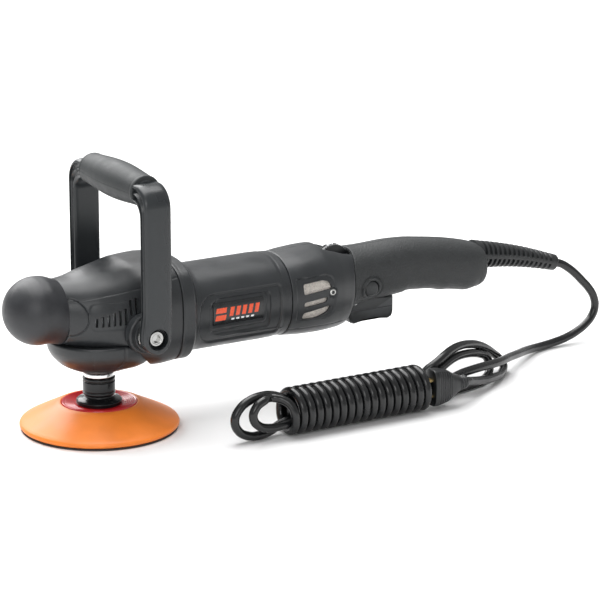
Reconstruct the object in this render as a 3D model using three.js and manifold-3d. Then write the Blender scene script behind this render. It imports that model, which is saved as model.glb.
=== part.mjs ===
// Corded rotary polisher with a loop bail, standing on its backing pad, its cord wound up beside it.
// Millimetres. The origin is the centre of the pad's hook face, on the spindle axis.
// +Z runs up the spindle, +X runs back along the motor to the cord, -Y is the operator's left.
import * as THREE from "three";
import { ParametricGeometry } from "three/addons/geometries/ParametricGeometry.js";
import { mergeVertices } from "three/addons/utils/BufferGeometryUtils.js";
import Module from "manifold-3d";

const wasm = await Module();
wasm.setup();

// ---- Driving dimensions ----
const touch = 0.3; // gap kept between pieces that touch
const motorHeight = 86; // motor axis above the pad's face
const splitGap = 0.3; // between the two halves of the rear handle

// Backing pad and spindle, turned about Z
const padRadius = 62.5;
const hookThickness = 1.5;
const hookInset = 1.2; // hook face edge inside the cushion edge
const padRimHeight = 5;
const padTopHeight = 20.7;
const plateRadius = 29.5;
const plateThickness = 6.5;
const hubRadius = 12.8;
const hubFlangeRadius = 18;
const hubFlangeThickness = 3.6;
const hubHeight = 21.6;
const spindleRadius = 7;
const spindleRimRadius = 12;
const spindleRimHeight = 3.2;
const spindleNeckRadius = 8.5;
const spindleTopRadius = 6;
const spindleTop = 106;

// Bevel drive: the crown gear lies below the motor axis
const crownTeeth = 39;
const pinionTeeth = 8;
const crownPitchRadius = 25.5;
const gearFace = 7.5; // tooth length along the pitch cone
const toothShare = 0.33; // of the circular pitch
const addendum = 1.15;
const dedendum = 1.5;
const crownBlank = 4; // metal under the crown's teeth
const crownHubRadius = 14;
const gearClearance = 1.4; // crown gear to the casting around it

// Bearings: bore radius comes from the shaft they carry
const spindleBearingRadius = 17.5;
const spindleBearingWidth = 11;
const needleBearingRadius = 10;
const needleBearingWidth = 10;
const frontBearingRadius = 16;
const frontBearingWidth = 10;
const rearBearingRadius = 11;
const rearBearingWidth = 7;
const runningGap = 0.3;

// Head
const noseSeam = -36;
const noseRadius = 26.7;
const noseCentre = { x: -52, z: 101.6 };
const headEnd = 51.5;
const headWall = 3;
const dishRadius = 40;
const dishTop = 74;
const nozzleRadius = 15;
const nozzleBottom = 46.3;
const castingRadius = 31;
const castingWall = 3;
const castingTop = 116;
const ventCount = 8;
const ventPitch = 4.4;
const ventWidth = 2;
const ventStart = -18.5;
const flangeWidth = 14;
const flangeHalfWidth = 44;
const flangeHalfHeight = 40.5;
const flangeCentreHeight = 90.5;

// Motor
const motorRadius = 34.5;
const motorWall = 4;
const motorStart = headEnd + touch + flangeWidth + touch;
const motorLength = 89;
const motorEnd = motorStart + motorLength;
const shaftRadius = 5;
const coreLength = 50;
const coreStart = motorStart + 20;
const armatureRadius = 18;
const windingReach = 8; // wire beyond each end of the core
const airGap = 0.6;
const fieldInset = 0.3; // field core inside the housing
const coilDepth = 6.5;
const coilOverhang = 4.5;
const commutatorRadius = 11.5;
const commutatorLength = 14;
const fanRadius = 27.5;
const fanWidth = 9;
const fanBlades = 11;
const brushWidth = 6.4;
const brushHeight = 10;
const brushLength = 14;
const holderWall = 1.6;
const holderLength = 15;
const badge = { length: 46, height: 18, depth: 1.2 };

// Rear handle
const handleStart = motorEnd + touch;
const handleWall = 2.6;
const coverThickness = 1.8; // rubber grip skin
const coverStart = handleStart + 63.6;
const slotHalfWidth = 9.5;
const triggerLength = 42;
const triggerStart = handleStart + 67.1;
const triggerBottom = motorHeight - 35.4;
const triggerTop = motorHeight - 13;
const triggerSide = 0.9; // clearance each side in its slot
const triggerRise = 4.2; // room above it for its back to swing up
const triggerPivotRadius = 2.2;
const triggerPivotHeight = triggerTop - 3.5;
const triggerPinInset = 4; // from the trigger's front
const triggerPinGrip = 1.7; // how far the pin enters each handle shell
const switchSize = { length: 34, width: 19, height: 18 };
const switchGap = 9; // trigger's top to the switch
const springPlace = 0.62; // share of the trigger's length
const springTurns = 3;
const springRadius = 3;
const springWire = 0.45; // radius of the wire
const dialRadius = 14.5;
const dialWidth = 7;
const dialCentre = { x: handleStart + 55.6, z: motorHeight + 18 };
const dialClearance = 0.8;
const lockOnAt = { x: handleStart + 80.6, z: motorHeight - 3.5 };
const lockOnRadius = 6.2;
const lockOnStem = 8;
const buttonClearance = 0.5;
const windowStart = handleStart + 10.1;
const windowLength = 22.5;
const windows = [ // heights of the middles above the motor axis
  { rise: 8.5, height: 9 },
  { rise: -3.3, height: 4.6 },
  { rise: -12.6, height: 8 },
];
const meshHalfHeight = 17; // above and below the motor axis
const meshThickness = 1;
const boardSize = { length: 20, width: 30, thickness: 2 };
const clampSize = { start: handleStart + 164.6, length: 9, halfWidth: 11, height: 12 };
const screwRadius = 1.9;
const screwHeadRadius = 3.4;
const screwHeadHeight = 2.2;
const bossRadius = 4.6;
const reliefBaseRadius = 12;
const reliefTipRadius = 6.5;
const reliefFlange = 14.5;

// Loop bail
const bailSpan = 118.6; // leg centre to leg centre
const legThickness = 11;
const legWidth = 23;
const bailPivot = { x: 18.5, z: 84 };
const barHeight = 195.4;
const barX = 20;
const barRadius = 9;
const barDepth = 15; // height of the frame's top member
const gripRadius = 15.1;
const gripEndRadius = 12.6;
const gripLength = 88;
const bailCorner = 17;
const footRadius = 12;
const bossOuter = 13;
const washerThickness = 1.4;
const washerRadius = 11;
const boltRadius = 4;
const boltHeadRadius = 6.3;
const boltHeadHeight = 4;
const boltRecessRadius = 8.4;
const boltRecessDepth = 7;
const boltLength = 27;

// Spindle lock, on the operator's right
const lockHeight = 96;
const lockPinRadius = 2.2;
const lockButtonRadius = 5.5;
const lockTravel = 4;
const lockStandoff = 3; // pressing depth left outside the cover
const lockNotch = 2.4; // how deep the pin enters the spindle

// Cord
const cordRadius = 3.5;
const cordExit = { x: handleStart + 273.6, z: motorHeight - 13.9 };
const plugStart = 243.5;
const plugLength = 33;
const plugHeight = 30;
const plugThickness = 17;
const plugNarrow = 7;
const plugCentre = { y: -98, z: 18.8 };
const bladeLength = 16;
const bladeSpacing = 12.7;
const windingCentre = { y: -92, z: 18.8 };
const windingRadius = 18.6;
const windingStart = 112.5;
const windingEnd = 240;

const around = { coarse: 8, round: 16, fine: 24 };
const gear = gearNumbers();

// ---- Solids ----
function solid(geometry) {
  const bare = geometry.index ? geometry.toNonIndexed() : geometry.clone();
  bare.deleteAttribute("normal");
  bare.deleteAttribute("uv");
  const merged = mergeVertices(bare, 1e-4);
  const mesh = new wasm.Mesh({
    numProp: 3,
    vertProperties: merged.attributes.position.array,
    triVerts: new Uint32Array(merged.index.array),
  });
  return new wasm.Manifold(mesh);
}

function geometryOf(body) {
  const mesh = body.getMesh();
  const geometry = new THREE.BufferGeometry();
  geometry.setAttribute("position", new THREE.BufferAttribute(mesh.vertProperties, 3));
  geometry.setIndex(new THREE.BufferAttribute(mesh.triVerts, 1));
  return geometry;
}

function block(low, high) {
  const size = new THREE.Vector3(...high).sub(new THREE.Vector3(...low));
  const geometry = new THREE.BoxGeometry(size.x, size.y, size.z);
  geometry.translate(low[0] + size.x / 2, low[1] + size.y / 2, low[2] + size.z / 2);
  return solid(geometry);
}

// A rod along one axis, from one station to another; centre holds the other two coordinates.
function rod(axis, radius, from, to, centre, sides = around.round) {
  const geometry = new THREE.CylinderGeometry(radius, radius, to - from, sides);
  const middle = (from + to) / 2;
  if (axis === "x") {
    geometry.rotateZ(-Math.PI / 2);
    geometry.translate(middle, centre[0], centre[1]);
  } else if (axis === "y") {
    geometry.translate(centre[0], middle, centre[1]);
  } else {
    geometry.rotateX(Math.PI / 2);
    geometry.translate(centre[0], centre[1], middle);
  }
  return solid(geometry);
}

function pipe(axis, outer, inner, from, to, centre, sides = around.round) {
  const wall = rod(axis, outer, from, to, centre, sides);
  return wall.subtract(rod(axis, inner, from - 1, to + 1, centre, sides));
}

// A turned piece: pairs of radius and station, from the low end up, closed on the axis.
function turned(axis, profile, sides = around.round) {
  const points = profile.map(([radius, station]) => new THREE.Vector2(radius, station));
  const geometry = new THREE.LatheGeometry(points, sides);
  if (axis === "x") geometry.rotateZ(-Math.PI / 2);
  if (axis === "z") geometry.rotateX(Math.PI / 2);
  return solid(geometry);
}

// A rounded section: w and h are half its width and height, n its squareness (2 is an ellipse).
function section(x, low, high, w, n = 2.3) {
  return { x, z: (low + high) / 2, h: (high - low) / 2, w, n };
}

// A solid skinned over sections that stand square to X, with flat ends.
function loft(sections, sides = around.round) {
  const last = sections.length + 1;
  const point = (u, v, target) => {
    const row = Math.round(v * last);
    const s = sections[THREE.MathUtils.clamp(row - 1, 0, sections.length - 1)];
    const open = row === 0 || row === last ? 0 : 1;
    const angle = (2 * Math.PI * (Math.round(u * sides) % sides)) / sides;
    const side = Math.sign(Math.cos(angle)) * Math.abs(Math.cos(angle)) ** (2 / s.n);
    const rise = Math.sign(Math.sin(angle)) * Math.abs(Math.sin(angle)) ** (2 / s.n);
    target.set(s.x, open * s.w * side, s.z + open * s.h * rise);
  };
  return solid(new ParametricGeometry(point, sides, last));
}

// The same sections, smaller all round and shortened at the ends that are given.
function shrunk(sections, by, startBy = by, endBy = by) {
  const first = sections[0].x + startBy;
  const final = sections[sections.length - 1].x - endBy;
  return sections.map((s) => ({
    ...s,
    x: THREE.MathUtils.clamp(s.x, first, final),
    w: s.w - by,
    h: s.h - by,
  }));
}

function outline(points) {
  return new THREE.Shape(points.map(([a, b]) => new THREE.Vector2(a, b)));
}

// An outline drawn in X and Z, given thickness along Y.
function plateY(shape, from, to, curveSegments = 10) {
  const geometry = new THREE.ExtrudeGeometry(shape, {
    depth: to - from,
    bevelEnabled: false,
    curveSegments,
  });
  geometry.rotateX(Math.PI / 2);
  geometry.translate(0, to, 0);
  return solid(geometry);
}

// An outline drawn in X and Y, given thickness along Z.
function plateZ(shape, from, to, curveSegments = 10) {
  const geometry = new THREE.ExtrudeGeometry(shape, { depth: to - from, bevelEnabled: false, curveSegments });
  geometry.translate(0, 0, from);
  return solid(geometry);
}

// An outline drawn in Y and Z, given thickness along X.
function plateX(shape, from, to, curveSegments = 10) {
  const geometry = new THREE.ExtrudeGeometry(shape, {
    depth: to - from,
    bevelEnabled: false,
    curveSegments,
  });
  geometry.rotateY(Math.PI / 2);
  geometry.rotateX(Math.PI / 2);
  geometry.translate(from, 0, 0);
  return solid(geometry);
}

function tube(curve, radius, sides, steps) {
  const ring = new THREE.Shape();
  ring.setFromPoints(
    Array.from({ length: sides }, (_, i) => {
      const angle = (2 * Math.PI * i) / sides;
      return new THREE.Vector2(radius * Math.cos(angle), radius * Math.sin(angle));
    }),
  );
  return solid(new THREE.ExtrudeGeometry(ring, { extrudePath: curve, steps, bevelEnabled: false }));
}

function joined(bodies) {
  return bodies.reduce((sum, body) => sum.add(body));
}

// ---- Finishes ----
function finish(color, roughness, metalness = 0) {
  return new THREE.MeshStandardMaterial({ color, roughness, metalness });
}

const finishes = {
  housing: finish(0x2f3334, 0.5),
  rubber: finish(0x26292b, 0.8),
  grip: finish(0x222527, 0.85),
  casting: finish(0x9a9da0, 0.45, 1),
  steel: finish(0xb8bcc0, 0.3, 1),
  chrome: finish(0xdfe2e4, 0.12, 1),
  blackSteel: finish(0x141516, 0.3, 0.8),
  laminations: finish(0x77797b, 0.5, 1),
  copper: finish(0xb06a3c, 0.4, 1),
  carbon: finish(0x2a2a2a, 0.7),
  brass: finish(0xc8a860, 0.35, 1),
  nylon: finish(0x8a8f92, 0.6),
  mesh: finish(0xa8a498, 0.45, 0.6),
  redPlate: finish(0xd8301a, 0.3),
  orange: finish(0xff7a1c, 0.45),
  hooks: finish(0xe8e4d8, 0.95),
  board: finish(0x2c6b3a, 0.6),
  cord: finish(0x141517, 0.35),
  badge: finish(0xe0502a, 0.4),
};

const polisher = new THREE.Group();
const groups = {};

function group(name) {
  groups[name] = new THREE.Group();
  polisher.add(groups[name]);
}

function piece(groupName, name, body, finishName) {
  const mesh = new THREE.Mesh(geometryOf(body), finishes[finishName]);
  mesh.name = name;
  groups[groupName].add(mesh);
}

["body", "spindle", "armature", "trigger", "lockOn", "dial", "bail", "spindleLock", "cord"].forEach(group);

// ---- Shared outlines ----
const headSections = [
  section(noseSeam, 73, 124, 24.5, 2.1),
  section(-26, 67, 124.6, 29.5, 2.2),
  section(-12, 60, 127, 35.5, 2.3),
  section(5, 53, 130, 39.5, 2.5),
  section(22, 50, 133, 41.5, 2.7),
  section(40, 48, 133.6, 42.8, 2.8),
  section(headEnd, 49, 132.5, 43.4, 2.8),
];

// Stations back from the front of the handle, and heights from the motor axis
const handleSection = (back, low, high, w, n) =>
  section(handleStart + back, motorHeight + low, motorHeight + high, w, n);
const handleSections = [
  handleSection(0, -34.2, 32.8, 33.6, 2.2),
  handleSection(16.6, -35.5, 34.3, 34.6, 2.3),
  handleSection(34.6, -36, 35.2, 33.4, 2.3),
  handleSection(48.6, -35.6, 32.4, 30, 2.3),
  handleSection(58.6, -34, 29.6, 26.4, 2.3),
  handleSection(65.6, -22.5, 28.2, 24, 2.3),
  handleSection(80.6, -18, 27.8, 22.4, 2.4),
  handleSection(108.6, -16.6, 28.6, 21.8, 2.4),
  handleSection(125.6, -15, 27.8, 21.4, 2.4),
  handleSection(142.6, -17, 25.6, 21.4, 2.4),
  handleSection(161.6, -20.2, 22.6, 21.4, 2.4),
  handleSection(180.6, -22.6, 18.4, 21, 2.4),
  handleSection(192.6, -20.4, 14.6, 18.6, 2.3),
  handleSection(197.6, -16, 11, 14.6, 2.2),
];

const motorSections = [
  section(motorStart, motorHeight - motorRadius - 1, motorHeight + motorRadius + 1, motorRadius + 1, 2.2),
  section(motorStart + 10, motorHeight - motorRadius, motorHeight + motorRadius, motorRadius, 2.1),
  section(motorEnd - 20, motorHeight - motorRadius, motorHeight + motorRadius, motorRadius, 2.1),
  section(motorEnd, motorHeight - motorRadius + 0.7, motorHeight + motorRadius - 1, motorRadius - 0.8, 2.2),
];

const motorLine = [0, motorHeight];
const spindleLine = [0, 0];

// ---- Spindle group: everything that turns with the pad ----
function makePad() {
  const plateBottom = padTopHeight - plateThickness;
  const hookFace = rod("z", padRadius - hookInset, 0, hookThickness, spindleLine, around.fine);
  piece("spindle", "pad_hook_face", hookFace, "hooks");
  const cushion = turned("z", [
    [0, hookThickness + touch],
    [padRadius - 1.5, hookThickness + touch],
    [padRadius, padRimHeight - 1.6],
    [padRadius, padRimHeight],
    [padRadius - 1.6, padRimHeight + 1.6],
    [plateRadius + touch + 1.5, padTopHeight],
    [plateRadius + touch, padTopHeight],
    [plateRadius + touch, plateBottom - touch],
    [0, plateBottom - touch],
  ], around.fine);
  piece("spindle", "pad_cushion", cushion, "orange");
  const plate = turned("z", [
    [0, plateBottom],
    [plateRadius, plateBottom],
    [plateRadius, padTopHeight],
    [plateRadius - 2, padTopHeight + 0.6],
    [hubFlangeRadius + 1, padTopHeight - 1.2],
    [0, padTopHeight - 1.2],
  ], around.fine);
  piece("spindle", "pad_plate", plate, "redPlate");
}

function makeHubAndSpindle() {
  const hubBottom = padTopHeight - 1.2 + touch;
  const hubTop = hubBottom + hubHeight;
  const grooveRadius = hubRadius - 1.4;
  const grooveBottom = hubBottom + hubFlangeThickness + 0.8;
  const hub = turned("z", [
    [0, hubBottom],
    [hubFlangeRadius, hubBottom],
    [hubFlangeRadius, hubBottom + hubFlangeThickness - 1],
    [hubFlangeRadius - 1, hubBottom + hubFlangeThickness],
    [grooveRadius, grooveBottom],
    [grooveRadius, grooveBottom + 1.6],
    [hubRadius, grooveBottom + 2.6],
    [hubRadius, hubTop - 3.4],
    [hubRadius - 0.7, hubTop - 3],
    [hubRadius - 0.7, hubTop - 2.4],
    [hubRadius, hubTop - 2],
    [hubRadius, hubTop - 0.6],
    [hubRadius - 0.6, hubTop],
    [0, hubTop],
  ]);
  const threadStart = hubBottom + hubFlangeThickness;
  const bore = rod("z", spindleRadius + runningGap, threadStart, hubTop + 1, spindleLine);
  piece("spindle", "hub_collar", hub.subtract(bore), "blackSteel");

  const rimBottom = hubTop + touch;
  const shaft = turned("z", [
    [0, threadStart + 1],
    [spindleRadius - 1, threadStart + 1],
    [spindleRadius, threadStart + 2],
    [spindleRadius, rimBottom],
    [spindleRimRadius - 0.6, rimBottom],
    [spindleRimRadius, rimBottom + 0.6],
    [spindleRimRadius, rimBottom + spindleRimHeight],
    [spindleNeckRadius, rimBottom + spindleRimHeight],
    [spindleNeckRadius, gear.crownTop + 1],
    [spindleTopRadius, gear.crownTop + 1],
    [spindleTopRadius, spindleTop - 1],
    [spindleTopRadius - 1, spindleTop],
    [0, spindleTop],
  ]);
  // The lock pin drops into a cross hole at every quarter turn.
  const notch = lockPinRadius + runningGap;
  const acrossY = rod("y", notch, -spindleRadius * 2, spindleRadius * 2, [0, lockHeight], around.coarse);
  const acrossX = rod("x", notch, -spindleRadius * 2, spindleRadius * 2, [0, lockHeight], around.coarse);
  const core = rod(
    "z",
    spindleTopRadius - lockNotch - touch,
    lockHeight - notch - 1,
    lockHeight + notch + 1,
    spindleLine,
  );
  piece("spindle", "spindle_shaft", shaft.subtract(acrossX).subtract(acrossY).add(core), "steel");
  return { rimTop: rimBottom + spindleRimHeight };
}

// ---- Bevel gears: both pitch cones meet where the two axes cross ----
function gearNumbers() {
  const pinionPitchRadius = (crownPitchRadius * pinionTeeth) / crownTeeth;
  const crownPitchHeight = motorHeight - pinionPitchRadius;
  const inner = crownPitchRadius - gearFace;
  return {
    pinionPitchRadius,
    inner,
    pitch: (2 * Math.PI * crownPitchRadius) / crownTeeth,
    crownPitchHeight,
    crownTop: crownPitchHeight + addendum,
    blankTop: crownPitchHeight - dedendum,
    shrink: inner / crownPitchRadius,
  };
}

// One crown tooth: a wedge whose section shrinks toward the point where the axes cross.
function crownTooth() {
  const geometry = new THREE.BoxGeometry(1, 1, 1);
  const position = geometry.attributes.position;
  const thickness = gear.pitch * toothShare;
  for (let i = 0; i < position.count; i += 1) {
    const scale = position.getX(i) > 0 ? 1 : gear.shrink;
    const high = position.getZ(i) > 0;
    const half = (thickness / 2) * (high ? 0.7 : 1.25);
    const depth = gear.pinionPitchRadius + (high ? -addendum : dedendum + 0.8);
    position.setXYZ(
      i,
      crownPitchRadius * scale,
      Math.sign(position.getY(i)) * half * scale,
      motorHeight - depth * scale,
    );
  }
  return geometry;
}

function makeCrownGear() {
  const under = gear.pinionPitchRadius + dedendum;
  const outerTop = motorHeight - under;
  const innerTop = motorHeight - under * gear.shrink;
  const blank = turned("z", [
    [0, outerTop - crownBlank - 5],
    [crownHubRadius, outerTop - crownBlank - 5],
    [crownHubRadius, outerTop - crownBlank],
    [crownPitchRadius, outerTop - crownBlank],
    [crownPitchRadius, outerTop],
    [gear.inner, innerTop],
    [crownHubRadius, innerTop],
    [0, innerTop],
  ], around.fine);
  const teeth = Array.from({ length: crownTeeth }, (_, i) =>
    solid(crownTooth().rotateZ((2 * Math.PI * (i + 0.5)) / crownTeeth)),
  );
  const bore = rod("z", spindleNeckRadius + touch, 0, motorHeight * 2, spindleLine);
  piece("spindle", "crown_gear", joined([blank, ...teeth]).subtract(bore), "steel");
  return { bottom: outerTop - crownBlank - 5 };
}

function pinionOutline() {
  const tip = gear.pinionPitchRadius + addendum;
  const root = gear.pinionPitchRadius - dedendum * 0.85;
  const step = (2 * Math.PI) / pinionTeeth;
  const tipHalf = 0.45 / tip;
  const rootHalf = (gear.pitch * toothShare * 0.62) / root;
  const points = [];
  for (let i = 0; i < pinionTeeth; i += 1) {
    const middle = step * i;
    [[root, -rootHalf], [tip, -tipHalf], [tip, tipHalf], [root, rootHalf]].forEach(([radius, turn]) => {
      const angle = middle + turn;
      points.push([radius * Math.cos(angle), radius * Math.sin(angle)]);
    });
  }
  return outline(points);
}

function makePinion() {
  // Drawn about Z with the small end at the crossing point's side, then laid along X.
  const geometry = new THREE.ExtrudeGeometry(pinionOutline(), { depth: gearFace, bevelEnabled: false });
  const position = geometry.attributes.position;
  for (let i = 0; i < position.count; i += 1) {
    const scale = (gear.inner + position.getZ(i)) / crownPitchRadius;
    position.setX(i, position.getX(i) * scale);
    position.setY(i, position.getY(i) * scale);
  }
  geometry.rotateY(Math.PI / 2);
  geometry.translate(gear.inner, 0, motorHeight);
  const hubStart = crownPitchRadius + 0.7;
  const hubEnd = crownPitchRadius + 9;
  const boreStart = hubStart + 2;
  const neckRadius = gear.pinionPitchRadius - dedendum - 0.4;
  const neck = rod("x", neckRadius, crownPitchRadius - 0.5, hubStart + 1, motorLine);
  const hub = rod("x", shaftRadius + 1.2, hubStart, hubEnd, motorLine);
  const bore = rod("x", shaftRadius - 1.5 + touch, boreStart, hubEnd + 1, motorLine);
  piece("armature", "bevel_pinion", solid(geometry).add(neck).add(hub).subtract(bore), "steel");
  return { hubEnd, boreStart };
}

// ---- Head ----
function makeHead(rimTop, crownBottom) {
  const bearingBottom = crownBottom - touch - spindleBearingWidth;
  const bearingCentre = spindleLine;
  piece(
    "body",
    "spindle_bearing",
    pipe(
      "z",
      spindleBearingRadius,
      spindleNeckRadius + touch,
      bearingBottom,
      crownBottom - touch,
      bearingCentre,
    ),
    "steel",
  );

  // Lower housing: a dish that carries the spindle bearing and closes the gearcase from below.
  const dishOuter = turned("z", [
    [0, nozzleBottom],
    [nozzleRadius - 1, nozzleBottom],
    [nozzleRadius, nozzleBottom + 1],
    [dishRadius * 0.55, nozzleBottom + 3.4],
    [dishRadius * 0.78, nozzleBottom + 8],
    [dishRadius * 0.93, nozzleBottom + 14.5],
    [dishRadius, nozzleBottom + 21],
    [dishRadius, dishTop],
    [0, dishTop],
  ], around.fine);
  const throat = rod("z", spindleRimRadius + 0.6, 0, rimTop + 0.8, spindleLine);
  const seal = rod("z", spindleNeckRadius + 0.8, 0, dishTop + 1, spindleLine);
  const seat = rod("z", spindleBearingRadius + touch, bearingBottom - touch, dishTop + 1, spindleLine);
  const gearRoom = rod("z", crownPitchRadius + gearClearance, crownBottom + 3, dishTop + 1, spindleLine);
  const dish = dishOuter.subtract(throat).subtract(seal).subtract(seat).subtract(gearRoom);

  // Gear casting: a pot over the crown gear with a tunnel back to the motor.
  const castingBottom = dishTop + touch;
  const potOuter = rod("z", castingRadius, castingBottom, castingTop, spindleLine);
  const potRoom = crownPitchRadius + gearClearance;
  const potInner = rod("z", potRoom, castingBottom - 1, gear.crownTop + 16, spindleLine);
  const tunnelOuter = rod("x", frontBearingRadius + castingWall + 1, 0, headEnd - touch, motorLine);
  const tunnelFloor = block([-1, -80, 0], [headEnd, 80, castingBottom]);
  const tunnelInner = rod("x", shaftRadius + 3, 0, headEnd + 1, motorLine);
  const frontSeatStart = headEnd - frontBearingWidth - 1;
  const frontSeat = rod("x", frontBearingRadius + touch, frontSeatStart - touch, headEnd + 1, motorLine);
  const needleTop = spindleTop + 1;
  const needleSeat = rod("z", needleBearingRadius + touch, 0, needleTop, spindleLine);
  const lockRoom = rod("y", lockPinRadius + runningGap, 0, 80, [0, lockHeight], around.coarse);
  const casting = potOuter
    .add(tunnelOuter.subtract(tunnelFloor))
    .subtract(potInner)
    .subtract(tunnelInner)
    .subtract(frontSeat)
    .subtract(needleSeat)
    .subtract(lockRoom)
    .intersect(loft(shrunk(headSections, headWall + touch, headWall + touch, -1)));
  piece("body", "gear_housing", casting, "casting");
  piece(
    "body",
    "spindle_needle_bearing",
    pipe(
      "z",
      needleBearingRadius,
      spindleTopRadius + touch,
      needleTop - touch - needleBearingWidth * 0.7,
      needleTop - touch,
      spindleLine,
    ),
    "steel",
  );
  piece(
    "body",
    "motor_front_bearing",
    pipe(
      "x",
      frontBearingRadius,
      shaftRadius + touch,
      frontSeatStart,
      frontSeatStart + frontBearingWidth,
      motorLine,
    ),
    "steel",
  );

  // Outer cover: a moulded shell over the casting, open below around the dish.
  const inner = loft(shrunk(headSections, headWall, headWall, -1));
  const dishRoom = rod("z", dishRadius + touch, 0, dishTop + touch, spindleLine, around.fine);
  let cover = loft(headSections).subtract(inner);
  for (const side of [-1, 1]) {
    cover = cover.add(rod("y", bossOuter, ...span(side, 36, bossEnd), [bailPivot.x, bailPivot.z]));
    cover = cover.subtract(rod("y", boltRadius + touch, ...span(side, 30, 80), [bailPivot.x, bailPivot.z]));
  }
  cover = cover.subtract(dishRoom);
  for (let i = 0; i < ventCount; i += 1) {
    const x = ventStart + i * ventPitch;
    const tall = 4 + i * 1.2;
    if (x + ventWidth > bailPivot.x - bossOuter) {
      cover = cover.subtract(
        block([x - ventWidth / 2, -60, 98], [x + ventWidth / 2, 60, 99 + tall]),
      );
    } else {
      cover = cover.subtract(
        block([x - ventWidth / 2, -60, 91], [x + ventWidth / 2, 60, 94 + tall]),
      );
    }
  }
  const buttonRoom = lockButtonRadius + buttonClearance;
  cover = cover.subtract(rod("y", buttonRoom, 20, 60, [0, lockHeight], around.coarse));
  piece("body", "head_cover", cover, "housing");
  piece("body", "spindle_housing", dish, "housing");

  piece("body", "nose_bumper", loft(noseSections()).subtract(dishRoom), "rubber");
}

// The nose is a ball that runs back into the head's first section.
function noseSections() {
  const first = headSections[0];
  const turns = [0.2, 0.42, 0.66, 0.95, 1.3, 1.7];
  const ball = turns.map((turn) => {
    const x = noseCentre.x - noseRadius * Math.cos(turn);
    const size = noseRadius * Math.sin(turn);
    return section(x, noseCentre.z - size, noseCentre.z + size, size, 2);
  });
  return [...ball, section(noseSeam - touch, first.z - first.h, first.z + first.h, first.w, first.n)];
}

const bossEnd = bailSpan / 2 - legThickness / 2 - touch * 2 - washerThickness;

// A stretch on one side of the middle plane, low end first.
function span(side, near, far) {
  return side > 0 ? [near, far] : [-far, -near];
}

function makeFlange() {
  const low = flangeCentreHeight - flangeHalfHeight;
  const high = flangeCentreHeight + flangeHalfHeight;
  const start = headEnd + touch;
  const ring = loft([
    section(start, low, high, flangeHalfWidth, 3),
    section(start + flangeWidth - 4, low, high, flangeHalfWidth, 3),
    section(start + flangeWidth, low + 5, high - 4, flangeHalfWidth - 4, 2.7),
  ], around.fine);
  const room = rod("x", motorRadius - motorWall, start + 3, start + flangeWidth + 1, motorLine);
  const opening = rod("x", frontBearingRadius - 2, start - 1, start + 4, motorLine);
  piece("body", "gearcase_flange", ring.subtract(room).subtract(opening), "housing");
}

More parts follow.
